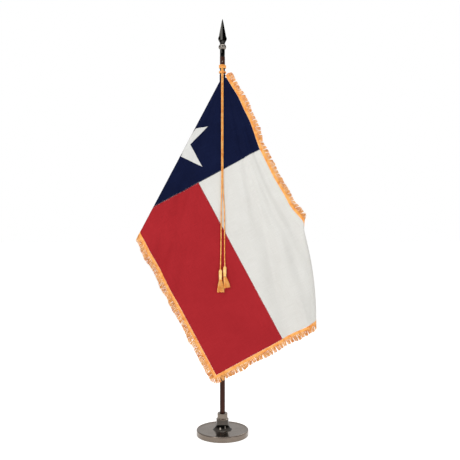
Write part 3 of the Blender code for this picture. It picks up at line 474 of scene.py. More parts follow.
# The finial's copy of the nickel plate, on the spear and its sleeve, has the darkest base colour:
# painted dark reflection, standing in for the dark room that the chrome finial mirrors.
darkenedFinialPlate = platedMaterial("finial nickel plate with painted dark reflection", "#31302e", "#242321", 0.05, 0.05)
oak = oakMaterial()
zincSteel = grainyMaterial("zinc-plated steel", "#a9abad", "#83868a", 0.004, 0.00004,
                           Metallic=1.0, Roughness=0.38)
castIron = grainyMaterial("sand-cast iron", "#3a3938", "#1f1e1e", 0.0025, 0.0006,
                          Metallic=0.7, Roughness=0.72)
feltPad = grainyMaterial("pressed wool felt", "#24452f", "#142a1c", 0.0012, 0.0006,
                         Roughness=0.95)
brassInsert = grainyMaterial("turned brass", "#c9a455", "#a58138", 0.003, 0.00003,
                             Metallic=1.0, Roughness=0.3)
fibreWasher = grainyMaterial("vulcanised fibre", "#4d3629", "#332219", 0.001, 0.0001,
                             Roughness=0.75)
nylonBlack = grainyMaterial("moulded black nylon", "#1d1d1e", "#111112", 0.0012, 0.00006,
                            Roughness=0.48)
tanLeather = grainyMaterial("vegetable-tanned leather", "#8f5a34", "#5e3720", 0.0011, 0.0003,
                            Roughness=0.6)
print("materials ready")


# Cord: two free legs from one hitch round the pole, three plies laid together

cordKit = {
    "radius": 0.0035,
    "step": 0.0024,  # between two rings of a rope
    "plies": 3,
    "sides": 18,
    "groove": 0.26,
    "layTurn": math.tau / 0.021,  # one full turn of the lay every 21 mm
    "wrapPitch": 0.0074,
    "lowerRise": 0.0095,
    "upperRise": 0.0415,
    "strandApart": 0.0074,
    "windingsStart": math.radians(40),
    "sunk": 0.006,  # how far a leg runs into its tassel's head
}
leftStops = [
    (-0.0037, -0.0266, 0.0020), (-0.0038, -0.0340, -0.0070), (-0.0039, -0.0436, -0.0200),
    (-0.0040, -0.0464, -0.0400), (-0.0041, -0.0484, -0.1000), (-0.0042, -0.0512, -0.2000),
    (-0.0042, -0.0540, -0.3000), (-0.0042, -0.0575, -0.4000), (-0.0041, -0.0610, -0.5000),
    (-0.0041, -0.0645, -0.6000), (-0.0042, -0.0680, -0.7000), (-0.0052, -0.0705, -0.7700),
    (-0.0068, -0.0728, -0.8350), (-0.0074, -0.0755, -0.9000), (-0.0078, -0.0795, -1.0000),
    (-0.0088, -0.0838, -1.1000), (-0.0104, -0.0886, -1.1700), (-0.0115, -0.0915, -1.2098)]
rightStops = [
    (0.0037, -0.0266, 0.0020), (0.0036, -0.0340, -0.0070), (0.0035, -0.0436, -0.0200),
    (0.0034, -0.0464, -0.0400), (0.0033, -0.0484, -0.1000), (0.0032, -0.0512, -0.2000),
    (0.0032, -0.0540, -0.3000), (0.0032, -0.0575, -0.4000), (0.0033, -0.0610, -0.5000),
    (0.0034, -0.0645, -0.6000), (0.0040, -0.0680, -0.7000), (0.0075, -0.0705, -0.7700),
    (0.0118, -0.0728, -0.8350), (0.0134, -0.0755, -0.9000), (0.0136, -0.0795, -1.0000),
    (0.0140, -0.0838, -1.1000), (0.0148, -0.0878, -1.1550), (0.0153, -0.0907, -1.1903)]


def rope(name, routes):
    kit = cordKit
    mesh = pathMesh(routes, [1.0] * len(routes), [0.7 * k for k in range(len(routes))])
    return grow(name, mesh, strandTree, {
        "Radius": kit["radius"], "Groove": kit["groove"], "Plies": float(kit["plies"]),
        "Turns": kit["layTurn"], "Sides": kit["sides"], "Material": ropeGold})


def hitchRoutes():
    # Windings round the pole, and the two strands that cross down over the lower ones
    kit = cordKit
    middle = poleRadius + fit + kit["radius"]
    routes = []
    for count, rise in ((3, kit["upperRise"]), (2, kit["lowerRise"])):
        steps = 64 * count
        turns = np.linspace(0, math.tau * count, steps)
        share = turns / math.tau
        height = flagTop + rise + kit["wrapPitch"] * (share - 0.5)
        height = np.clip(height, flagTop + rise, flagTop + rise + kit["wrapPitch"] * (count - 1))
        start = kit["windingsStart"]
        routes.append(np.stack([middle * np.sin(turns + start), middle * np.cos(turns + start),
                                height], axis=1))
    for side in (-1, 1):
        aside = side * kit["strandApart"] / 2
        routes.append(smoothRoute([
            (aside, -middle - 0.0014, flagTop + kit["upperRise"] + 0.004),
            (aside, -middle - 0.0030, flagTop + kit["upperRise"] - 0.006),
            (aside, -middle - 0.0048, flagTop + kit["lowerRise"] + 0.012),
            (aside, -middle - 0.0066, flagTop + kit["lowerRise"] + 0.002),
            (aside, -middle - 0.0066, flagTop + 0.0040)], 0.002))
    return routes


legs = {}
for side, stops in (("left", leftStops), ("right", rightStops)):
    # Each leg runs a little way into its tassel's head, where it is tied
    end = np.array(stops[-1])
    inside = end + np.array((0.0, -math.sin(math.radians(3.2)), -1.0)) * cordKit["sunk"]
    route = smoothRoute([*stops, tuple(inside)], cordKit["step"]) + np.array((0, 0, flagTop))
    legs[side] = {"route": route, "rope": rope(f"{side}_rope", [route])}
    carry(legs[side]["rope"], f"{side}_cord", "gold_cord", f"{side}_cord")
hitch = rope("hitch_windings", hitchRoutes())
carry(hitch, "upper_pole", "gold_cord", "cord_hitch")
print("cords laid")


# Tassels: a wound head over a skirt of twisted strands

tasselKit = {
    "headRadius": 0.0098,
    "headLength": 0.0648,
    "tilt": math.radians(-3.2),
    "flat": 0.55,  # depth over width, as each skirt lies against the cloth
    "left": {"skirtRadius": 0.0222, "skirtLength": 0.079, "lean": math.radians(2.2)},
    "right": {"skirtRadius": 0.0190, "skirtLength": 0.070, "lean": math.radians(13.5)},
    "strandWidth": 0.00125,
    "strandSpots": 40,
    "ringCounts": (11, 21, 32),
    "seed": 11,
}


def woundHead(name, tilt):
    # Yarn wound round a wooden core: upright threads on the body, level binding at each end
    kit = tasselKit
    r, length = kit["headRadius"], kit["headLength"]
    outline = [(0.0004, -0.0003), (0.30, -0.0012), (0.62, -0.0042), (0.84, -0.0085),
               (0.97, -0.0135), (1.0, -0.0190), (0.99, -0.0300), (0.97, -0.0400),
               (0.96, -0.0465), (0.90, -0.0510), (0.80, -0.0548), (0.80, -0.0575),
               (0.92, -0.0612), (0.98, -length + 0.0012), (0.90, -length), (0.0004, -length)]
    up = [z for _, z in outline]
    wide = [w * r if k not in (0, len(outline) - 1) else w for k, (w, _) in enumerate(outline)]
    heights = np.interp(np.linspace(0, len(up) - 1, 90), range(len(up)), up)
    radii = np.interp(np.linspace(0, len(up) - 1, 90), range(len(up)), wide)
    sides = 112
    points = []
    for z, radius in zip(heights, radii):
        share = z / -length
        bound = max(float(ease(1 - abs(share - 0.85) / 0.06)), float(ease(1 - share / 0.10)))
        for k in range(sides):
            a = math.tau * k / sides
            thread = 1 - 0.085 * (1 - bound) * (0.5 + 0.5 * math.cos(a * 28))
            thread *= 1 + 0.030 * bound * math.cos(z * math.tau / 0.0014)
            points.append((radius * thread * math.cos(a), radius * thread * math.sin(a), z))
    faces = ringFaces(len(heights), sides)
    faces.append(tuple(range(sides)))
    faces.append(tuple(reversed(range(len(points) - sides, len(points)))))
    piece = placeMesh(name, points, faces, tasselGold)
    piece.data.transform(tilt)
    tidyNormals(piece)
    return piece


def skirt(name, kit, tilt, rng):
    # Strands in rings round an inner core, each one sagging out to the skirt's outline
    shared = tasselKit
    r, length = shared["headRadius"], kit["skirtLength"]
    foot = -shared["headLength"] - fit - r * math.sin(kit["lean"])
    lean = Matrix.Translation((0, 0, foot)) @ Matrix.Rotation(-kit["lean"], 4, "Y")
    paths, widths = [], []
    for ringAt, count in enumerate(shared["ringCounts"]):
        share = (ringAt + 1) / len(shared["ringCounts"])
        for k in range(count):
            a = math.tau * (k + rng.uniform(-0.25, 0.25)) / count
            drop = length * rng.uniform(0.90, 0.975)
            path = []
            for t in np.linspace(0, 1, shared["strandSpots"]):
                spread = np.interp(t, (0, 0.08, 0.35, 0.72, 1.0),
                                   (r * 0.80, r * 0.98, kit["skirtRadius"] * 0.70,
                                    kit["skirtRadius"] * 0.90, kit["skirtRadius"] * 0.95))
                spread = spread * share * (1 + 0.04 * math.sin(5 * t + a * 3)) - 0.0008
                path.append((spread * math.cos(a + 0.10 * math.sin(4 * t + k)),
                             spread * shared["flat"] * math.sin(a), -t * drop))
            paths.append(path)
            widths.append(rng.uniform(0.88, 1.12))
    mesh = pathMesh(paths, widths, [rng.uniform(0, 6.0) for _ in paths])
    piece = grow(name, mesh, strandTree, {
        "Radius": shared["strandWidth"], "Groove": 0.22, "Plies": 2.0,
        "Turns": math.tau / 0.018, "Sides": 8, "Material": ropeGold})
    piece.data.transform(tilt @ lean)
    return piece


rng = np.random.default_rng(tasselKit["seed"])
for side, stops in (("left", leftStops), ("right", rightStops)):
    end = Vector(stops[-1]) + Vector((0, 0, flagTop))
    tilt = Matrix.Translation(end) @ Matrix.Rotation(tasselKit["tilt"], 4, "X")
    legs[side]["head"] = woundHead(f"{side}_wound_head", tilt)
    legs[side]["skirt"] = skirt(f"{side}_skirt_strands", tasselKit[side], tilt, rng)
    carry(legs[side]["head"], f"{side}_tassel", "gold_cord", f"{side}_tassel_head")
    carry(legs[side]["skirt"], f"{side}_tassel", "gold_fringe", f"{side}_tassel_skirt")
print("tassels tied")


# Flag: flat cloth laid along a fan of straight folds that spreads from the hung corner

flagKit = {
    "hoist": 0.92,
    "blueWidth": 0.525,
    "length": 1.61,
    "thick": 0.0007,
    "seamGap": 0.0005,
    "cornerCut": 0.034,
    "fringeDepth": 0.055,
    "headerDepth": 0.017,
    "headerThick": 0.0022,
    "grid": 0.0046,
}
drapeKit = {
    "apexShift": 0.010,
    "topEdge": math.radians(28.3),
    "fold": math.radians(-27.7),
    "bulge": 0.012,
    "gap": 0.0075,
    "open": 0.024,
    "frontGap": 0.0085,
    "frontLean": 0.035,
    "seamReach": 0.0131,
    "backFolds": 3,
    "rippleDepth": 0.009,
    "rippleCount": 34,
    "calm": math.radians(7),
    "rollEdge": 0.577,
    "rollRadius": 0.025,
    "rollTurn": math.radians(175),
    "rollDrop": 1.48,
    "rollCurve": 0.2926,
    "rollRelease": 3.0,
}
edgeSwing = [(0.0, 0.0), (0.15, 2.3), (0.28, 0.0), (0.53, -3.4), (0.67, -3.2), (0.89, -2.2),
             (1.07, -0.4), (1.25, 0.0), (9.0, 0.0)]
seamY = -(poleRadius + drapeKit["seamReach"])
turnAngle = math.radians(90) - drapeKit["topEdge"]
frontPhi = drapeKit["fold"] + drapeKit["bulge"]
frontPsi = frontPhi + turnAngle
backPsi = frontPsi - math.pi * drapeKit["bulge"]


def meanderTable():
    spread = -frontPhi / backPsi
    swing = math.sqrt(8 * (1 - math.sqrt(spread)))
    s = np.linspace(0, 1, 841)
    middle = (s[1:] + s[:-1]) / 2
    heading = swing * np.sin(math.tau * drapeKit["backFolds"] * middle)
    across = np.concatenate([[0], np.cumsum(np.cos(heading))])
    back = np.concatenate([[0], np.cumsum(np.sin(heading))]) / (len(s) - 1)
    return s, across / across[-1], back


meander = meanderTable()


def edgeTurn(rho):
    swing = np.zeros_like(rho)
    for (a, low), (b, high) in zip(edgeSwing, edgeSwing[1:]):
        inside = (rho > a) & (rho <= b)
        swing = np.where(inside, low + (high - low) * ease((rho - a) / (b - a)), swing)
    return np.radians(swing)


def rollStart(down):
    kit = drapeKit
    edge = kit["rollEdge"] - kit["rollRadius"] - kit["rollCurve"] * (kit["rollDrop"] - down) ** 2
    return edge + kit["rollRelease"] * np.maximum(0.0, 1 - down) ** 2


def fineFolds(phi, rho, u, v):
    # Small creases that fan out from the hung corner, broad soft waves, and puckered seams
    calm = ease((np.abs(phi) - drapeKit["calm"]) / drapeKit["calm"])
    calm = calm * ease((phi - frontPhi) / drapeKit["calm"]) * ease(rho / 0.25)
    fans = 0.0030 * np.sin(57 * phi + 1.1 + 0.8 * np.sin(3.1 * rho))
    fans = fans + 0.0011 * np.sin(113 * phi - 0.6 + 1.2 * np.sin(4.7 * rho))
    waves = 0.0046 * np.sin(46 * rho * np.sin(phi) + 0.7) * ease((rho - 0.5) / 0.5)
    kit = flagKit
    seamUp = np.abs(u - kit["blueWidth"])
    seamLevel = np.abs(v - kit["hoist"] / 2) + 9 * (u < kit["blueWidth"])
    edgeTop, edgeLow = np.abs(v), np.abs(v - kit["hoist"])
    edgeFly = np.abs(u - kit["length"])
    pucker = 0.0007 * np.exp(-seamUp / 0.012) * np.sin(v * math.tau / 0.019)
    pucker = pucker + 0.0007 * np.exp(-seamLevel / 0.012) * np.sin(u * math.tau / 0.019)
    pucker = pucker + 0.0009 * np.exp(-edgeTop / 0.016) * np.sin(u * math.tau / 0.026)
    pucker = pucker + 0.0009 * np.exp(-edgeLow / 0.016) * np.sin(u * math.tau / 0.026)
    pucker = pucker + 0.0009 * np.exp(-edgeFly / 0.016) * np.sin(v * math.tau / 0.026)
    steady = ease((np.abs(phi) - 0.05) / 0.05)
    return calm * rho * fans + calm * waves + steady * pucker * ease(rho / 0.15)


def drapePoints(u, v):
    # Flat cloth (u along the fly, v down the hoist) to places relative to the hung corner
    kit = drapeKit
    u, v = np.asarray(u, float), np.asarray(v, float)
    rho, psi = np.hypot(u, v), np.arctan2(u, v)
    front = seamY - kit["frontGap"] - kit["frontLean"] * rho
    gap = kit["gap"] + kit["open"] * rho
    # the panel in front
    phi = psi - turnAngle
    calm = ease((np.abs(phi) - kit["calm"]) / kit["calm"]) * ease((phi - frontPhi) / kit["calm"])
    y = front + rho * calm * kit["rippleDepth"] * np.sin(kit["rippleCount"] * phi)
    y = y + fineFolds(phi, rho, u, v)
    swing = ease((phi - kit["calm"]) / (kit["topEdge"] - kit["calm"]))
    phi = phi + edgeTurn(rho) * swing
    # the left-hand fold
    share = (frontPsi - psi) / (frontPsi - backPsi)
    foldPhi = frontPhi - kit["bulge"] * np.sin(math.pi * share)
    foldY = front + gap * (1 - np.cos(math.pi * share)) / 2
    # the gathered back
    deep = 1 - psi / backPsi
    backPhi = frontPhi * (1 - np.interp(deep, meander[0], meander[1]))
    backY = (front + gap) * (1 - deep) + seamY * deep
    backY = backY + rho * backPsi * np.interp(deep, meander[0], meander[2]) * ease(rho / 0.15)
    isFront, isFold = psi >= frontPsi, psi >= backPsi
    phi = np.where(isFront, phi, np.where(isFold, foldPhi, backPhi))
    y = np.where(isFront, y, np.where(isFold, foldY, backY))
    across = np.where(isFold, kit["apexShift"], kit["apexShift"] * (1 - deep))
    x, down = across + rho * np.sin(phi), rho * np.cos(phi)
    # the roll at the fly edge
    start, radius = rollStart(down), kit["rollRadius"]
    past = x - start
    around = np.minimum(np.maximum(past, 0) / radius, kit["rollTurn"])
    rest = np.maximum(past, 0) - around * radius
    rolledX = start + radius * np.sin(around) + rest * np.cos(around)
    rolledY = y + radius * (1 - np.cos(around)) + rest * np.sin(around)
    x, y = np.where(past > 0, rolledX, x), np.where(past > 0, rolledY, y)
    return np.stack([x, y, -down + flagTop], axis=-1)


def drapeNormals(u, v):
    tiny = 0.0004
    along = drapePoints(u + tiny, v) - drapePoints(u - tiny, v)
    down = drapePoints(u, v + tiny) - drapePoints(u, v - tiny)
    normal = -np.cross(along, down)
    return normal / np.linalg.norm(normal, axis=-1, keepdims=True)


def drape(u, v, out=0.0):
    u, v = np.asarray(u, float), np.asarray(v, float)
    return drapePoints(u, v) + drapeNormals(u, v) * np.asarray(out)[..., None]


def clothSheet(name, u, v, material, out=0.0, thick=None, shape=None):
    # A closed thin sheet over a grid of flat places; shape gives the thickness at each place
    thick = thick or flagKit["thick"]
    half = thick / 2 if shape is None else thick / 2 * shape
    near = drape(u, v, out + half).reshape(-1, 3)
    far = drape(u, v, out - half).reshape(-1, 3)
    rows, columns = u.shape
    count = rows * columns
    at = np.arange(count).reshape(rows, columns)
    a, b, c, d = at[:-1, :-1], at[:-1, 1:], at[1:, 1:], at[1:, :-1]
    front = np.stack([a, d, c, b], axis=-1).reshape(-1, 4)
    back = front[:, ::-1] + count
    rim = np.concatenate([at[0, :-1], at[:-1, -1], at[-1, :0:-1], at[:0:-1, 0]])
    after = np.roll(rim, -1)
    edge = np.stack([rim, after, after + count, rim + count], axis=-1)
    flat = np.stack([u.ravel(), v.ravel()], axis=1)
    piece = placeMesh(name, np.concatenate([near, far]), np.concatenate([front, back, edge]),
                      material, uv=np.concatenate([flat, flat]))
    tidyNormals(piece)
    return piece


def fixedGrid(left, right, top, bottom):
    step = flagKit["grid"]
    across = np.linspace(left, right, round((right - left) / step) + 1)
    down = np.linspace(top, bottom, round((bottom - top) / step) + 1)
    return np.meshgrid(across, down)


def fanGrid(rays, rings):
    # Rays from the hung corner to the blue panel's far edges, closer where the folds turn
    kit = flagKit
    width, height, cut = kit["blueWidth"] - kit["seamGap"] / 2, kit["hoist"], kit["cornerCut"]
    corner = math.atan2(width, height)
    psi = np.concatenate([np.linspace(0, corner, rays)[:-1],
                          np.linspace(corner, math.radians(90), rays)])
    reach = np.minimum(width / np.maximum(np.sin(psi), 1e-9), height / np.maximum(np.cos(psi), 1e-9))
    first = cut / (np.sin(psi) + np.cos(psi))
    share = np.linspace(0, 1, rings)[:, None]
    rho = first + (reach - first) * share
    return rho * np.sin(psi), rho * np.cos(psi)


half = flagKit["seamGap"] / 2
blueU, blueV = fanGrid(150, 128)
blue = clothSheet("blue_panel", blueU, blueV, navyCloth)
middleRow = flagKit["hoist"] / 2
whiteU, whiteV = fixedGrid(flagKit["blueWidth"] + half, flagKit["length"], 0, middleRow - half)
white = clothSheet("white_panel", whiteU, whiteV, whiteCloth)
redU, redV = fixedGrid(flagKit["blueWidth"] + half, flagKit["length"], middleRow + half,
                       flagKit["hoist"])
red = clothSheet("red_panel", redU, redV, redCloth)
carry(blue, "upper_pole", "navy_cloth", "blue_stripe")
carry(white, "upper_pole", "white_cloth", "white_stripe")
carry(red, "upper_pole", "red_cloth", "red_stripe")
print("panels draped")


# Star: one applique on each face of the blue panel, with a turned edge and a satin stitch

starKit = {"radius": 0.2145, "along": 0.245, "thick": 0.0006, "rings": 46, "perSide": 13,
           "lift": 0.0011}
innerShare = math.sin(math.radians(18)) / math.sin(math.radians(54))


def starOutline(perSide):
    corners = []
    for k in range(10):
        a = math.radians(36 * k)
        reach = starKit["radius"] * (1.0 if k % 2 == 0 else innerShare)
        corners.append((starKit["along"] + reach * math.sin(a), middleRow - reach * math.cos(a)))
    corners = np.array(corners)
    line = []
    for a, b in zip(corners, np.roll(corners, -1, axis=0)):
        for t in np.linspace(0, 1, perSide, endpoint=False):
            line.append(a + (b - a) * t)
    return np.array(line)


def starSheet(name, face):
    # Rings from the middle out to the outline, closed round, a little thicker at the turned hem
    outline = starOutline(starKit["perSide"])
    centre = np.array((starKit["along"], middleRow))
    shares = np.linspace(0.004, 1, starKit["rings"])[:, None, None]
    flat = centre + (outline - centre) * shares
    u, v = flat[..., 0], flat[..., 1]
    out = face * (flagKit["thick"] / 2 + starKit["lift"] * 0.55 + starKit["thick"] / 2)
    crown = np.where(shares[..., 0] > 0.965, 1.6, 1.0) * np.ones(u.shape)
    near = drape(u, v, out + starKit["thick"] / 2 * crown).reshape(-1, 3)
    far = drape(u, v, out - starKit["thick"] / 2 * crown).reshape(-1, 3)
    rings, around = u.shape
    count = rings * around
    faces = ringFaces(rings, around)
    faces += [face[::-1] for face in ringFaces(rings, around, count)]
    last = (rings - 1) * around
    for j in range(around):
        a, b = last + j, last + (j + 1) % around
        faces.append((a, b, b + count, a + count))
    faces.append(tuple(range(around)))
    faces.append(tuple(reversed(range(count, count + around))))
    flatUv = np.stack([u.ravel(), v.ravel()], axis=1)
    piece = placeMesh(name, np.concatenate([near, far]), faces, starCloth,
                      uv=np.concatenate([flatUv, flatUv]))
    tidyNormals(piece)
    return piece


stars = {}
for name, face, stands in (("star_front", 1, "front_star"), ("star_back", -1, "back_star")):
    stars[name] = starSheet(name, face)
    carry(stars[name], "upper_pole", "white_cloth", stands)
print("stars sewn")


# Stitching: lockstitch rows along each seam, hem and star edge, on both faces

stitchKit = {"pitch": 0.0034, "length": 0.0027, "thread": 0.00028, "rowGap": 0.0032}


def stitchRow(flat, out):
    # Points along a flat line at the stitch pitch, with the draped direction at each
    flat = np.array(flat)
    along = np.concatenate([[0], np.cumsum(np.linalg.norm(np.diff(flat, axis=0), axis=1))])
    at = np.arange(stitchKit["pitch"], along[-1], stitchKit["pitch"])
    u, v = np.interp(at, along, flat[:, 0]), np.interp(at, along, flat[:, 1])
    ahead = (np.interp(at + 0.001, along, flat[:, 0]), np.interp(at + 0.001, along, flat[:, 1]))
    here = drape(u, v, out)
    way = drape(*ahead, out) - here
    return here, way


def stitches(name, rows, material):
    points, ways = [], []
    for flat, out in rows:
        here, way = stitchRow(flat, out)
        points.append(here)
        ways.append(way)
    points, ways = np.concatenate(points), np.concatenate(ways)
    mesh = bpy.data.meshes.new(name)
    mesh.from_pydata([tuple(p) for p in points], [], [])
    layer = mesh.attributes.new("along", "FLOAT_VECTOR", "POINT")
    layer.data.foreach_set("vector", ways.astype(np.float32).ravel())
    return grow(name, mesh, stitchTree, {"Length": stitchKit["length"],
                                         "Thread": stitchKit["thread"], "Material": material})


def straight(u0, v0, u1, v1):
    share = np.linspace(0, 1, 400)[:, None]
    return np.array((u0, v0)) * (1 - share) + np.array((u1, v1)) * share


surface = flagKit["thick"] / 2 + 0.0001
gap = stitchKit["rowGap"]
seamRows, hemRows = [], []
for face in (1, -1):
    for step in (-gap, gap):
        seamRows.append((straight(flagKit["blueWidth"] + step, 0.004, flagKit["blueWidth"] + step,
                                  flagKit["hoist"] - 0.004), face * surface))
        seamRows.append((straight(flagKit["blueWidth"] + 0.006, middleRow + step,
                                  flagKit["length"] - 0.004, middleRow + step), face * surface))
    # Two rows through the braid
    for depth in (0.0045, 0.0115):
        on = face * (flagKit["headerThick"] / 2 + 0.0001)
        end = flagKit["length"] + depth
        hemRows.append((straight(0.03, -depth, end, -depth), on))
        hemRows.append((straight(end, -depth, end, flagKit["hoist"] + depth), on))
        hemRows.append((straight(0.01, flagKit["hoist"] + depth, end, flagKit["hoist"] + depth),
                        on))
outline = starOutline(40)
centre = np.array((starKit["along"], middleRow))
border = centre + (np.concatenate([outline, outline[:1]]) - centre) * 0.972
starOut = flagKit["thick"] / 2 + starKit["lift"] * 0.55 + starKit["thick"] + 0.0002
starBorder = stitches("star_stitches", [(border, starOut), (border, -starOut)], starCloth)
seams = stitches("seam_stitches", seamRows, whiteCloth)
hems = stitches("braid_stitches", hemRows, braid)
carry(starBorder, "upper_pole", "white_cloth")
carry(seams, "upper_pole", "white_cloth")
carry(hems, "upper_pole", "gold_fringe")
print("seams stitched")


# Fringe: a woven header along three edges and a row of twisted bullion strands

fringeKit = {
    "spacing": 0.0018,
    "strandRadius": 0.00135,
    "strandSpots": 14,
    "layTurn": math.tau / 0.022,
    "start": 0.0135,  # strands come out of the header's foot
    "shortest": 0.80,
    "droop": 0.007,
    "clump": 0.024,
    "gather": 0.30,
    "bunch": 0.19,  # one fuller bunch every 190 mm
    "seed": 23,
}


def headerBand(name, u0, v0, u1, v1, outward):
    # Braid with a thick rib at each side and a soft dip along its middle
    length = math.hypot(u1 - u0, v1 - v0)
    steps = round(length / 0.0032)
    along = np.linspace(0, 1, steps + 1)[None, :]
    depth = np.array([0.0005, 0.0011, 0.0022, 0.0036, 0.0052, 0.0078, 0.0104, 0.0124, 0.0142,
                      0.0156, 0.0166, 0.0170])[:, None]
    rib = np.array([0.45, 0.85, 1.0, 0.88, 0.66, 0.60, 0.66, 0.88, 1.0, 0.95, 0.75, 0.4])[:, None]
    weave = 1 + 0.10 * np.sin(along * steps * math.pi * 0.9) * np.sin(depth / 0.017 * math.pi * 3)
    u = u0 + (u1 - u0) * along + outward[0] * depth
    v = v0 + (v1 - v0) * along + outward[1] * depth
    if outward[0] * (v1 - v0) - outward[1] * (u1 - u0) < 0:
        u, v, weave = u[::-1], v[::-1], weave[::-1]
        rib = rib[::-1]
    return clothSheet(name, u, v, braid, thick=flagKit["headerThick"], shape=rib * weave)


def fringeStrands(name, roots, ways, rng):
    # Strands side by side that gather into small bunches, sag a little and end unevenly
    kit = fringeKit
    depth = flagKit["fringeDepth"] - kit["start"] - 0.0012
    t = np.linspace(0, 1, kit["strandSpots"])
    paths, widths, starts = [], [], []
    run = np.cumsum(np.concatenate([[0], np.linalg.norm(np.diff(roots, axis=0), axis=1)]))
    knots = np.arange(-0.02, run[-1] + 0.06, kit["clump"])
    pulls = rng.uniform(-0.45, 0.45, len(knots))
    lengths = rng.uniform(kit["shortest"], 1.0, len(knots))
    for k, (root, way) in enumerate(zip(roots, ways)):
        side = np.array((-way[1], way[0]))
        place = (run[k] - knots[0]) / kit["clump"]
        nearest = int(round(place))
        toward = (nearest - place) * kit["clump"] * kit["gather"]
        lean = toward + pulls[nearest % len(pulls)] * 0.007 + rng.normal(0, 0.0008)
        full = 0.5 + 0.5 * math.sin(run[k] * math.tau / kit["bunch"] + 1.3)
        reach = depth * np.interp(place, range(len(knots)), lengths) * rng.uniform(0.95, 1.0)
        reach *= 0.82 + 0.18 * full
        curl = rng.normal(0, 0.0009)
        bow = lean * t**1.6 + curl * np.sin(t * 5.0 + k)
        flat = root + way * (kit["start"] + reach * t)[:, None] + side * bow[:, None]
        layer = (0.0006 if k % 2 else -0.0006) + rng.normal(0, 0.0003)
        out = layer * (0.3 + 0.7 * t) + rng.normal(0, 0.0016) * t**1.5
        points = drape(flat[:, 0], flat[:, 1], out)
        points[:, 2] -= kit["droop"] * rng.uniform(0.5, 1.0) * t**2
        paths.append(points)
        widths.append(np.interp(t, (0, 0.93, 1.0), (1.0, 1.08, 0.70)) * rng.uniform(0.9, 1.1))
        starts.append(rng.uniform(0, 6.0))
    return grow(name, pathMesh(paths, widths, starts), strandTree, {
        "Radius": kit["strandRadius"], "Groove": 0.24, "Plies": 2.0, "Turns": kit["layTurn"],
        "Sides": 6, "Material": bullion})


def rowAlong(u0, v0, u1, v1, way):
    length = math.hypot(u1 - u0, v1 - v0)
    count = round(length / fringeKit["spacing"])
    share = np.linspace(0, 1, count)[:, None]
    roots = np.array((u0, v0)) * (1 - share) + np.array((u1, v1)) * share
    return roots, np.tile(way, (count, 1)).astype(float)


def cornerFan(u, v, first, last, count):
    angles = np.linspace(first, last, count)
    return np.tile((u, v), (count, 1)).astype(float), np.stack([np.cos(angles), np.sin(angles)], 1)


hoist, fly = flagKit["hoist"], flagKit["length"]
rng = np.random.default_rng(fringeKit["seed"])
fringes = {}
topRow = rowAlong(0.013, 0, fly - 0.001, 0, (0, -1))
flyRow = rowAlong(fly, 0.001, fly, hoist - 0.001, (1, 0))
lowRow = rowAlong(0.002, hoist, fly - 0.001, hoist, (0, 1))
upperFan = cornerFan(fly, 0, math.radians(-86), math.radians(-4), 22)
lowerFan = cornerFan(fly, hoist, math.radians(4), math.radians(86), 22)
flyRoots = np.concatenate([upperFan[0], flyRow[0], lowerFan[0]])
flyWays = np.concatenate([upperFan[1], flyRow[1], lowerFan[1]])
fringes["top"] = fringeStrands("fringe_strands_top", *topRow, rng)
fringes["fly"] = fringeStrands("fringe_strands_fly", flyRoots, flyWays, rng)
fringes["bottom"] = fringeStrands("fringe_strands_bottom", *lowRow, rng)
depth = flagKit["headerDepth"]
headers = {
    "top": headerBand("fringe_header_top", 0.016, 0, fly, 0, (0, -1)),
    "fly": headerBand("fringe_header_fly", fly, -depth, fly, hoist + depth, (1, 0)),
    "bottom": headerBand("fringe_header_bottom", 0, hoist, fly, hoist, (0, 1)),
}
for edge in ("top", "fly", "bottom"):
    carry(headers[edge], "upper_pole", "gold_fringe", f"fringe_{edge}")
    carry(fringes[edge], "upper_pole", "gold_fringe", f"fringe_{edge}")
print("fringe hung")


# Sleeve: the doubled hoist hem that the upper pole runs up through

sleeveKit = {
    "loose": 0.0008,
    "middle": 0.00075,  # from the inner face to the middle of the doubled cloth
    "seamBack": 0.0015,
    "tipGap": 0.0004,
    "thick": 0.0007,
    "around": 96,
    "rows": 230,
    "wave": 0.00028,
}


def sleevePoints():
    kit = sleeveKit
    radius = poleRadius + kit["loose"] + kit["middle"]
    tip = -seamY - kit["seamBack"] - fit - kit["tipGap"]
    lean = math.acos(radius / tip)
    angles = np.linspace(lean, math.tau - lean, kit["around"])
    ring = np.stack([radius * np.sin(angles), -radius * np.cos(angles)], axis=1)
    flank = np.linspace(0, 1, 14)[1:-1, None]
    point = np.array((0.0, -tip))
    loop = np.concatenate([point[None], point * (1 - flank) + ring[0] * flank, ring,
                           ring[-1] * (1 - flank) + point * flank])
    return loop


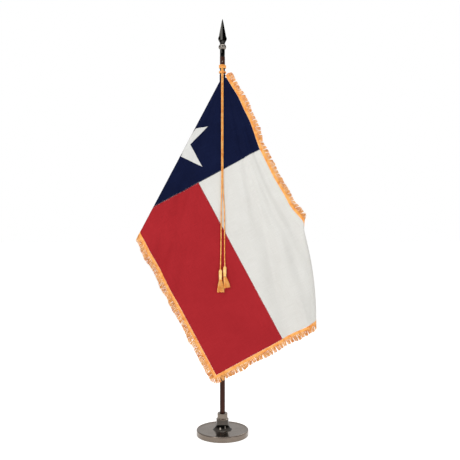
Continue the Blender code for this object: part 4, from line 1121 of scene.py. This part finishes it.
def buildSleeve():
    kit = sleeveKit
    middleLoop = sleevePoints()
    outward = middleLoop / np.linalg.norm(middleLoop, axis=1, keepdims=True)
    heights = np.linspace(-0.002, -flagKit["hoist"], kit["rows"])
    count = len(middleLoop)
    angle = np.arctan2(middleLoop[:, 0], -middleLoop[:, 1])
    shells = []
    for offset in (kit["thick"] / 2, -kit["thick"] / 2):
        rows = []
        for z in heights:
            wave = kit["wave"] * (np.sin(z * 61 + 2 * angle) + np.sin(z * 137 - 3 * angle + 1.0))
            hem = 0.0003 if z > -0.012 or z < -flagKit["hoist"] + 0.010 else 0.0
            loop = middleLoop + outward * (offset + wave * 0.5 + hem * np.sign(offset))[:, None]
            rows.append(np.column_stack([loop, np.full(count, z + flagTop)]))
        shells.append(np.concatenate(rows))
    total = count * kit["rows"]
    faces = ringFaces(kit["rows"], count)
    faces += [face[::-1] for face in ringFaces(kit["rows"], count, total)]
    foot = (kit["rows"] - 1) * count
    for k in range(count):
        n = (k + 1) % count
        faces.append((k, n, n + total, k + total))
        faces.append((foot + k, foot + n, foot + n + total, foot + k + total))
    run = np.concatenate([[0], np.cumsum(np.linalg.norm(np.diff(middleLoop, axis=0), axis=1))])
    uv = np.concatenate([np.column_stack([run, np.full(count, -z)]) for z in heights])
    piece = placeMesh("hoist_sleeve", np.concatenate(shells), faces, navyCloth,
                      uv=np.concatenate([uv, uv]))
    tidyNormals(piece)
    return piece, float(run[-1])


sleeve, sleeveGirth = buildSleeve()
carry(sleeve, "upper_pole", "navy_cloth", "flag_sleeve")
print("sleeve sewn")


# Turned pieces: one profile spun round the pole's axis, closed where it meets the axis

def turned(name, profile, material, sides=72, at=(0, 0, 0), sharp=32, fine=None):
    points, faces = [], []
    rings = [(r, z) for r, z in profile]
    closed = rings[0][0] > 1e-6 or rings[-1][0] > 1e-6
    for r, z in rings:
        for k in range(sides):
            a = math.tau * k / sides
            swell = 1.0 if fine is None else fine(a, z)
            points.append((r * swell * math.cos(a), r * swell * math.sin(a), z))
    count = len(rings)
    for j in range(count if closed else count - 1):
        for k in range(sides):
            a, b = j * sides + k, j * sides + (k + 1) % sides
            c, d = (j + 1) % count * sides + (k + 1) % sides, (j + 1) % count * sides + k
            faces.append((a, b, c, d))
    piece = placeMesh(name, points, faces, material)
    tidyNormals(piece)
    piece.data.shade_smooth()
    piece.data.set_sharp_from_angle(angle=math.radians(sharp))
    piece.data.transform(Matrix.Translation(at))
    return piece


def arc(centreR, centreZ, radius, first, last, steps=8):
    # A rounded edge in a profile, from one angle to another in degrees
    return [(centreR + radius * math.cos(math.radians(a)), centreZ + radius * math.sin(math.radians(a)))
            for a in np.linspace(first, last, steps)]


# Pole: two turned and lacquered sections, each end capped by a plated ferrule

poleKit = {"ferruleWall": 0.0009, "jointFerrule": 0.040, "finialFerrule": 0.0445,
           "cap": 0.0009, "chamfer": 0.0009, "bead": 0.00045}


def poleSection(name, bottom, top, roundFoot=False):
    r, c = poleRadius, poleKit["chamfer"]
    slim = r - poleKit["ferruleWall"] - fit
    low = [(0, bottom)]
    if roundFoot:
        low += [(r - 0.001, bottom), (r, bottom + 0.001)]
    else:
        low += [(slim, bottom), (slim, bottom + c), (r - 0.0002, bottom + c), (r, bottom + 2 * c)]
    heights = np.linspace(bottom + 0.02, top - 0.02, 24)
    shaft = [(r, z) for z in heights]
    high = [(r, top - 2 * c), (r - 0.0002, top - c), (slim, top - c), (slim, top), (0, top)]
    return turned(name, low + shaft + high, oak, sides=64)


def ferrule(name, bottom, top, closedTop, hole, plate):
    # Thin tube with a rolled bead at its open end and a rounded closed end
    kit = poleKit
    r, wall, bead = poleRadius, kit["ferruleWall"], kit["bead"]
    inner = r - wall
    if closedTop:
        shape = [(hole, top - kit["cap"]), (inner, top - kit["cap"]), (inner, bottom)]
        shape += [(r - 0.0003, bottom), (r, bottom + 0.0003), (r, bottom + 0.0010)]
        shape += [(r + bead, bottom + 0.0018), (r + bead, bottom + 0.0027), (r, bottom + 0.0035)]
        shape += [(r, top - 0.008), *arc(r - 0.0007, top - 0.0007, 0.0007, 0, 90, 6), (hole, top)]
    else:
        shape = [(hole, bottom)]
        shape += [*arc(r - 0.0007, bottom + 0.0007, 0.0007, -90, 0, 6), (r, bottom + 0.008)]
        shape += [(r, top - 0.0035), (r + bead, top - 0.0027), (r + bead, top - 0.0018)]
        shape += [(r, top - 0.0010), (r, top - 0.0003), (r - 0.0003, top), (inner, top)]
        shape += [(inner, bottom + kit["cap"]), (hole, bottom + kit["cap"])]
    return turned(name, shape, plate, sides=72)


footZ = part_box("lower_shaft")[0][2]
jointZ, upperZ = spots["jointHeight"], spots["upperFoot"]
cap = poleKit["cap"]
lowerTop = jointZ - cap - fit - poleKit["jointFerrule"]
upperLow = upperZ + cap + fit + poleKit["jointFerrule"]
upperHigh = poleTop - cap - fit - poleKit["finialFerrule"]
lowerPole = poleSection("lower_oak_shaft", footZ, lowerTop + 0.004, roundFoot=True)
upperPole = poleSection("upper_oak_shaft", upperLow - 0.004, upperHigh + 0.004)
lowerFerrule = ferrule("lower_joint_sleeve", lowerTop + fit, jointZ, True, 0.0043, polePlate)
upperFerrule = ferrule("upper_joint_sleeve", upperZ, upperLow - fit, False, 0.0043,
                       polePlate)
topFerrule = ferrule("finial_sleeve", upperHigh + fit, poleTop, True, 0.0033, darkenedFinialPlate)
carry(lowerPole, "lower_pole", "stained_oak", "lower_shaft")
carry(upperPole, "upper_pole", "stained_oak", "upper_shaft")
carry(lowerFerrule, "lower_pole", "chrome_plate", "lower_joint_ferrule")
carry(upperFerrule, "upper_pole", "chrome_plate", "upper_joint_ferrule")
carry(topFerrule, "upper_pole", "chrome_plate", "finial_ferrule")


# Cord screw: a domed head with a cut slot

screwKit = {"head": 0.0042, "rise": 0.0021, "shank": 0.0016, "length": 0.013, "slot": 0.0009,
            "height": poleTop - 0.0755}


def domedScrew():
    kit = screwKit
    shape = [(0, -kit["length"]), (kit["shank"] - 0.0006, -kit["length"] + 0.0012),
             (kit["shank"], -kit["length"] + 0.003), (kit["shank"], 0), (kit["head"] - 0.0002, 0)]
    for a in np.linspace(4, 90, 12):
        turn = math.radians(a)
        shape.append((kit["head"] * math.cos(turn), 0.0002 + kit["rise"] * math.sin(turn)))
    piece = turned("cord_screw_domed", shape, polePlate, sides=40)
    bm = bmesh.new()
    bm.from_mesh(piece.data)
    for side in (-1, 1):
        bmesh.ops.bisect_plane(bm, geom=bm.verts[:] + bm.edges[:] + bm.faces[:], dist=1e-7,
                               plane_co=(side * kit["slot"] / 2, 0, 0), plane_no=(1, 0, 0))
        bmesh.ops.bisect_plane(bm, geom=bm.verts[:] + bm.edges[:] + bm.faces[:], dist=1e-7,
                               plane_co=(side * (kit["slot"] / 2 - 0.0001), 0, 0),
                               plane_no=(1, 0, 0))
    for v in bm.verts:
        if abs(v.co.x) < kit["slot"] / 2 - 0.00005 and v.co.z > 0.0003:
            v.co.z = max(0.0003, v.co.z - 0.0010)
    bm.to_mesh(piece.data)
    bm.free()
    turnOut = Vector((0, -1, 0)).to_track_quat("Z", "Y").to_matrix().to_4x4()
    seat = Matrix.Translation((0, -(poleRadius + fit), kit["height"]))
    piece.data.transform(seat @ turnOut @ Matrix.Rotation(math.radians(25), 4, "Z"))
    return piece


carry(domedScrew(), "upper_pole", "chrome_plate", "cord_screw")
print("pole turned")


# Finial: a flattened ball under a ridged spear with two barbs

finialKit = {
    "ballRadius": 0.025,
    "ballHeight": 0.0335,
    "neck": 0.0165,
    "height": 0.1605,
    "thick": 0.0125,
    "rings": 120,
    "sides": 64,
    "outline": [(0, 1.00), (0.05, 0.98), (0.085, 1.08), (0.125, 1.27), (0.165, 1.50),
                (0.205, 1.63), (0.245, 1.64), (0.285, 1.53), (0.325, 1.34), (0.40, 1.23),
                (0.50, 1.06), (0.62, 0.82), (0.75, 0.58), (0.88, 0.33), (0.97, 0.13)],
}
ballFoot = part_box("finial_ball")[0][2]
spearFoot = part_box("spear_blade")[0][2]


def finialBall():
    kit = finialKit
    r, middle = kit["ballRadius"], kit["ballHeight"] / 2
    lowest = math.asin(poleRadius * 0.86 / r)
    highest = math.pi - math.asin(kit["neck"] / r)
    scale = middle / math.cos(lowest)
    shape = [(0, 0)]
    for a in np.linspace(lowest, highest, 34):
        shape.append((r * math.sin(a), max(0.0, middle - scale * math.cos(a))))
    top = shape[-1][1]
    shape[1] = (shape[1][0], 0.0)
    shape.append((0, top))
    return turned("finial_ball_spun", shape, polePlate, sides=80, at=(0, 0, ballFoot))


def spear():
    # Round neck that flattens into a leaf with a crisp ridge down each face
    kit = finialKit
    ups = [up for up, _ in kit["outline"]] + [1.0]
    wides = [wide for _, wide in kit["outline"]] + [0.012]
    fineUp = np.linspace(0, 1, kit["rings"])
    smoothWide = np.interp(fineUp, ups, wides)
    for _ in range(2):
        smoothWide[1:-1] = (smoothWide[:-2] + 2 * smoothWide[1:-1] + smoothWide[2:]) / 4
    sides = kit["sides"]
    points = []
    for up, wide in zip(fineUp, smoothWide):
        halfWide = kit["neck"] * wide
        flat = float(ease(up / 0.2))
        body = kit["thick"] / 2 * flat * max(1 - up, 0.0005) ** 0.6 * 1.15
        halfThick = kit["neck"] * (1 - flat) + body
        for k in range(sides):
            a = math.tau * k / sides
            c, s = math.cos(a), math.sin(a)
            ridge = max(0.0, 1 - abs(c)) * math.copysign(1, s) * (0.82 + 0.18 * (1 - abs(c)))
            # two shallow flutes beside the ridge, dying out towards the tip
            flute = 0.16 * flat * math.exp(-((abs(c) - 0.45) / 0.22) ** 2) * (1 - up)
            deep = s * (1 - flat) + ridge * flat * (1 - flute)
            points.append((halfWide * c, halfThick * deep, up * kit["height"]))
    rings = len(fineUp)
    faces = ringFaces(rings, sides)
    faces.append(tuple(reversed(range(sides))))
    faces.append(tuple(range((rings - 1) * sides, rings * sides)))
    piece = placeMesh("spear_leaf", points, faces, darkenedFinialPlate)
    tidyNormals(piece)
    piece.data.shade_smooth()
    piece.data.set_sharp_from_angle(angle=math.radians(28))
    piece.data.transform(Matrix.Translation((0, 0, spearFoot)))
    return piece


carry(finialBall(), "finial", "chrome_plate", "finial_ball")
carry(spear(), "finial", "chrome_plate", "spear_blade")
print("finial made")


# Stand: a spun dish with a rounded rim, a flared neck and a turned collar

standKit = {
    "radius": 0.162, "rimHeight": 0.036, "rimWidth": 0.012, "dishDrop": 0.0028,
    "shoulder": 0.006, "wall": 0.0014, "foot": 0.0015, "tubeOuter": 0.021975,
    "tubeInner": 0.018975, "neckRadius": 0.060, "neckTop": 0.0385, "neckHeight": 0.064,
    "neckWall": 0.0016, "collarRadius": 0.032, "collarLip": 0.012,
}
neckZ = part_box("neck_bell")[0][2]
collarZ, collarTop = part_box("top_collar")[0][2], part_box("top_collar")[1][2]


def dish():
    kit = standKit
    r, high, sh = kit["radius"], kit["rimHeight"], kit["shoulder"]
    rim, low, wall, foot = r - kit["rimWidth"], high - kit["dishDrop"], kit["wall"], kit["foot"]
    shape = [(r - 0.0006, foot), (r, foot + 0.0008), (r, foot + 0.004), (r, high - sh)]
    shape += arc(r - sh, high - sh, sh, 0, 90, 14)[1:]
    shape += [(rim + 0.003, high), (rim + 0.0012, high - 0.0003), (rim - 0.0012, high - 0.0013)]
    shape += [(rim - 0.004, low + 0.0004), (rim - 0.007, low), (rim - 0.030, low)]
    shape += [(0.090, low), (kit["neckRadius"] + 0.004, low), (kit["tubeOuter"] + fit, low)]
    inner = [(kit["tubeOuter"] + fit, low - wall), (rim - 0.0065, low - wall)]
    inner += [(rim + 0.0026, high - wall), (r - sh, high - wall)]
    inner += [*arc(r - sh, high - sh, sh - wall, 90, 0, 8)[1:], (r - wall, foot)]
    return turned("stand_dish", shape + inner, dishPlate, sides=160)


def neck():
    kit = standKit
    shape = []
    foot, top, tall, wall = kit["neckRadius"], kit["neckTop"], kit["neckHeight"], kit["neckWall"]
    for share in np.linspace(0, 1, 32):
        flare = (1 - share) ** 3.2
        bead = 0.0006 * math.exp(-((share - 0.045) / 0.018) ** 2)
        shape.append((top + (foot - top) * flare - bead, share * tall))
    inside = [(max(r - wall, 0.03), min(z, tall - wall)) for r, z in reversed(shape)]
    shape += [(kit["tubeOuter"] + fit, tall), (kit["tubeOuter"] + fit, tall - wall)]
    return turned("stand_neck", shape + inside, darkenedNeckPlate, sides=112, at=(0, 0, neckZ), sharp=40)


def collar():
    kit = standKit
    r, low, top = kit["collarRadius"], 0.0, collarTop - collarZ
    lip = top - kit["collarLip"]
    shape = [(kit["tubeOuter"] + fit, low), (kit["neckTop"] - 0.0004, low)]
    shape += [(kit["neckTop"], low + 0.0004), (kit["neckTop"], low + 0.0018)]
    shape += arc(kit["neckTop"] - 0.0018, low + 0.0020, 0.0018, 0, 70, 6)
    shape += [(r + 0.0022, low + 0.0044), (r + 0.0008, low + 0.0054), (r, low + 0.0072)]
    shape += [(r, low + 0.0105), (r - 0.0006, low + 0.0110), (r - 0.0006, low + 0.0118)]
    shape += [(r, low + 0.0123), (r, top - 0.0070), (r - 0.0006, top - 0.0065)]
    shape += [(r - 0.0006, top - 0.0057), (r, top - 0.0052)]
    shape += arc(r - 0.0026, top - 0.0026, 0.0026, 0, 90, 9)
    shape += [(kit["tubeInner"] + 0.0006, top), (kit["tubeInner"], top - 0.0006)]
    shape += [(kit["tubeInner"], lip), (kit["tubeOuter"] + fit, lip)]
    return turned("stand_collar", shape, dishPlate, sides=96, at=(0, 0, collarZ))


# Thumb screw behind the collar: threaded shank and a scalloped knob

clampKit = {"shank": 0.003, "pitch": 0.001, "knob": 0.0125, "knobLength": 0.010, "lobes": 8,
            "height": 0.1175, "holeEnd": 0.045}


def bore(piece, radius, near, far, height):
    # A round hole through the back wall, for the thumb screw to pass
    bm = bmesh.new()
    bmesh.ops.create_cone(bm, cap_ends=True, segments=40, radius1=radius, radius2=radius,
                          depth=far - near)
    bm.transform(Matrix.Translation((0, (near + far) / 2, height))
                 @ Matrix.Rotation(math.radians(90), 4, "X"))
    shape = bpy.data.meshes.new("drill")
    bm.to_mesh(shape)
    bm.free()
    drill = bpy.data.objects.new("drill", shape)
    scene.collection.objects.link(drill)
    cut = piece.modifiers.new("hole", "BOOLEAN")
    cut.operation = "DIFFERENCE"
    cut.solver = "EXACT"
    cut.object = drill
    ready = piece.evaluated_get(bpy.context.evaluated_depsgraph_get())
    bored = bpy.data.meshes.new_from_object(ready)
    piece.modifiers.remove(cut)
    bpy.data.objects.remove(drill)
    piece.data = bored
    piece.data.set_sharp_from_angle(angle=math.radians(32))
    return piece


ring = bore(collar(), clampKit["shank"] + fit, standKit["tubeInner"],
            clampKit["holeEnd"], clampKit["height"])
carry(dish(), "stand", "chrome_plate", "base_shell")
carry(neck(), "stand", "chrome_plate", "neck_bell")
carry(ring, "stand", "chrome_plate", "top_collar")


def screwShank():
    # Coarse thread drawn as close ridges, one for each turn
    kit = clampKit
    low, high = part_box("thumb_screw_shank")
    shape = [(0, low[1])]
    heights = np.arange(low[1], high[1] - 0.0001, kit["pitch"] / 4)
    for k, z in enumerate(heights):
        depth = (0.0, 0.00018, 0.00036, 0.00018)[k % 4]
        shape.append((kit["shank"] - depth, z))
    shape += [(kit["shank"], high[1]), (0, high[1])]
    piece = turned("threaded_shank", shape, polePlate, sides=24)
    piece.data.transform(Matrix.Translation((0, 0, kit["height"])) @ Matrix.Rotation(
        math.radians(-90), 4, "X"))
    return piece


def scallopedKnob():
    kit = clampKit
    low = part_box("thumb_screw_knob")[0]
    length = kit["knobLength"]

    def scallop(a, z):
        return 1 - 0.07 * (1 - math.cos(kit["lobes"] * a)) * float(ease(z / 0.002))

    r = kit["knob"]
    shape = [(0, 0), (r * 0.55, 0), (r * 0.62, 0.0006), (r - 0.0014, 0.0010), (r - 0.0004, 0.0017)]
    shape += [(r, 0.0030), (r, length - 0.0028)]
    shape += arc(r - 0.0020, length - 0.0020, 0.0020, 0, 90, 7)[1:]
    shape += [(r * 0.60, length), (r * 0.50, length - 0.0006), (r * 0.20, length - 0.0009)]
    shape += [(0, length - 0.0009)]
    piece = turned("scalloped_knob", shape, polePlate, sides=96, fine=scallop)
    piece.data.transform(Matrix.Translation((0, low[1], kit["height"])) @ Matrix.Rotation(
        math.radians(-90), 4, "X"))
    return piece


carry(screwShank(), "clamp_screw", "chrome_plate", "thumb_screw_shank")
carry(scallopedKnob(), "clamp_screw", "chrome_plate", "thumb_screw_knob")
print("stand spun")


# Parts that keep their own shape take the finish of what they are made of

finishes = {
    zincSteel: ("base_plate", "plate_screw_1", "plate_screw_2", "plate_screw_3", "socket_tube",
                "lock_washer", "lock_nut", "joint_stud", "finial_stud", "lower_ferrule_pin",
                "upper_ferrule_pin", "finial_ferrule_pin"),
    castIron: ("ballast_weight",),
    feltPad: ("felt_pad",),
    brassInsert: ("joint_insert", "finial_insert"),
    fibreWasher: ("joint_washer", "finial_washer"),
    nylonBlack: ("pole_bushing", "clamp_tip"),
    tanLeather: ("leather_tab",),
    polePlate: ("tab_screw",),
}
for material, names in finishes.items():
    for name in names:
        for held in nodes[name].material_slots:
            held.material = material


# Pale floor, and soft lights

def layFloor(half):
    paper = startMaterial("matt white paper", **{
        "Roughness": 0.9, "Specular IOR Level": 0.1, "Base Color": hexColour("#f7f7f6"),
        "Emission Color": hexColour("#ffffff"), "Emission Strength": 0.67})[0]
    corners = [(-half, -half, 0), (half, -half, 0), (half, half, 0), (-half, half, 0)]
    placeMesh("paper_floor", corners, [(0, 1, 2, 3)], paper)


layFloor(60.0)


def softLight(name, place, aim, size, power, colour="#ffffff"):
    data = bpy.data.lights.new(name, "AREA")
    data.shape = "RECTANGLE"
    data.size, data.size_y = size
    data.energy = power
    data.color = hexColour(colour)[:3]
    lamp = bpy.data.objects.new(name, data)
    lamp.location = place
    lamp.rotation_euler = (Vector(aim) - Vector(place)).to_track_quat("-Z", "Y").to_euler()
    scene.collection.objects.link(lamp)


softLight("key softbox", (-2.4, -3.2, 3.2), (0, 0, 1.3), (1.6, 2.2), 60)
softLight("fill softbox", (3.0, -2.8, 2.0), (0.1, 0, 1.2), (1.4, 2.4), 23)
softLight("back softbox", (1.8, 2.8, 3.0), (0, 0, 1.3), (1.6, 2.0), 30)
softLight("top softbox", (0.0, -0.6, 4.6), (0, 0, 1.0), (2.6, 2.2), 26)
# Sky light: white to the eye; in polished metal a bright ceiling and back over a dark front
world = bpy.data.worlds.new("soft studio")
world.use_nodes = True
sky = world.node_tree
backing = sky.nodes["Background"]
direction = addNode(sky, "ShaderNodeTexCoord")
parts = addNode(sky, "ShaderNodeSeparateXYZ", {0: direction.outputs["Generated"]})
rise = addNode(sky, "ShaderNodeMath", {0: parts.outputs[2], 1: 0.9}, operation="MULTIPLY")
deep = addNode(sky, "ShaderNodeMath", {0: parts.outputs[1], 1: 0.35, 2: rise.outputs[0]},
               operation="MULTIPLY_ADD")
room = addNode(sky, "ShaderNodeValToRGB", {0: deep.outputs[0]})
room.color_ramp.elements[0].position = 0.22
room.color_ramp.elements[0].color = (0.06, 0.06, 0.06, 1)
room.color_ramp.elements[1].position = 0.60
room.color_ramp.elements[1].color = (0.85, 0.85, 0.85, 1)
rays = addNode(sky, "ShaderNodeLightPath")
seen = addNode(sky, "ShaderNodeMix", {"Factor": rays.outputs["Is Glossy Ray"],
                                      "A": (0.38, 0.38, 0.38, 1), "B": room.outputs[0]},
               data_type="RGBA")
plain = addNode(sky, "ShaderNodeMix", {"Factor": rays.outputs["Is Camera Ray"],
                                       "A": seen.outputs["Result"], "B": (1, 1, 1, 1)},
                data_type="RGBA")
sky.links.new(plain.outputs["Result"], backing.inputs["Color"])
scene.world = world
scene.view_settings.view_transform = "Standard"

print("scene ready")
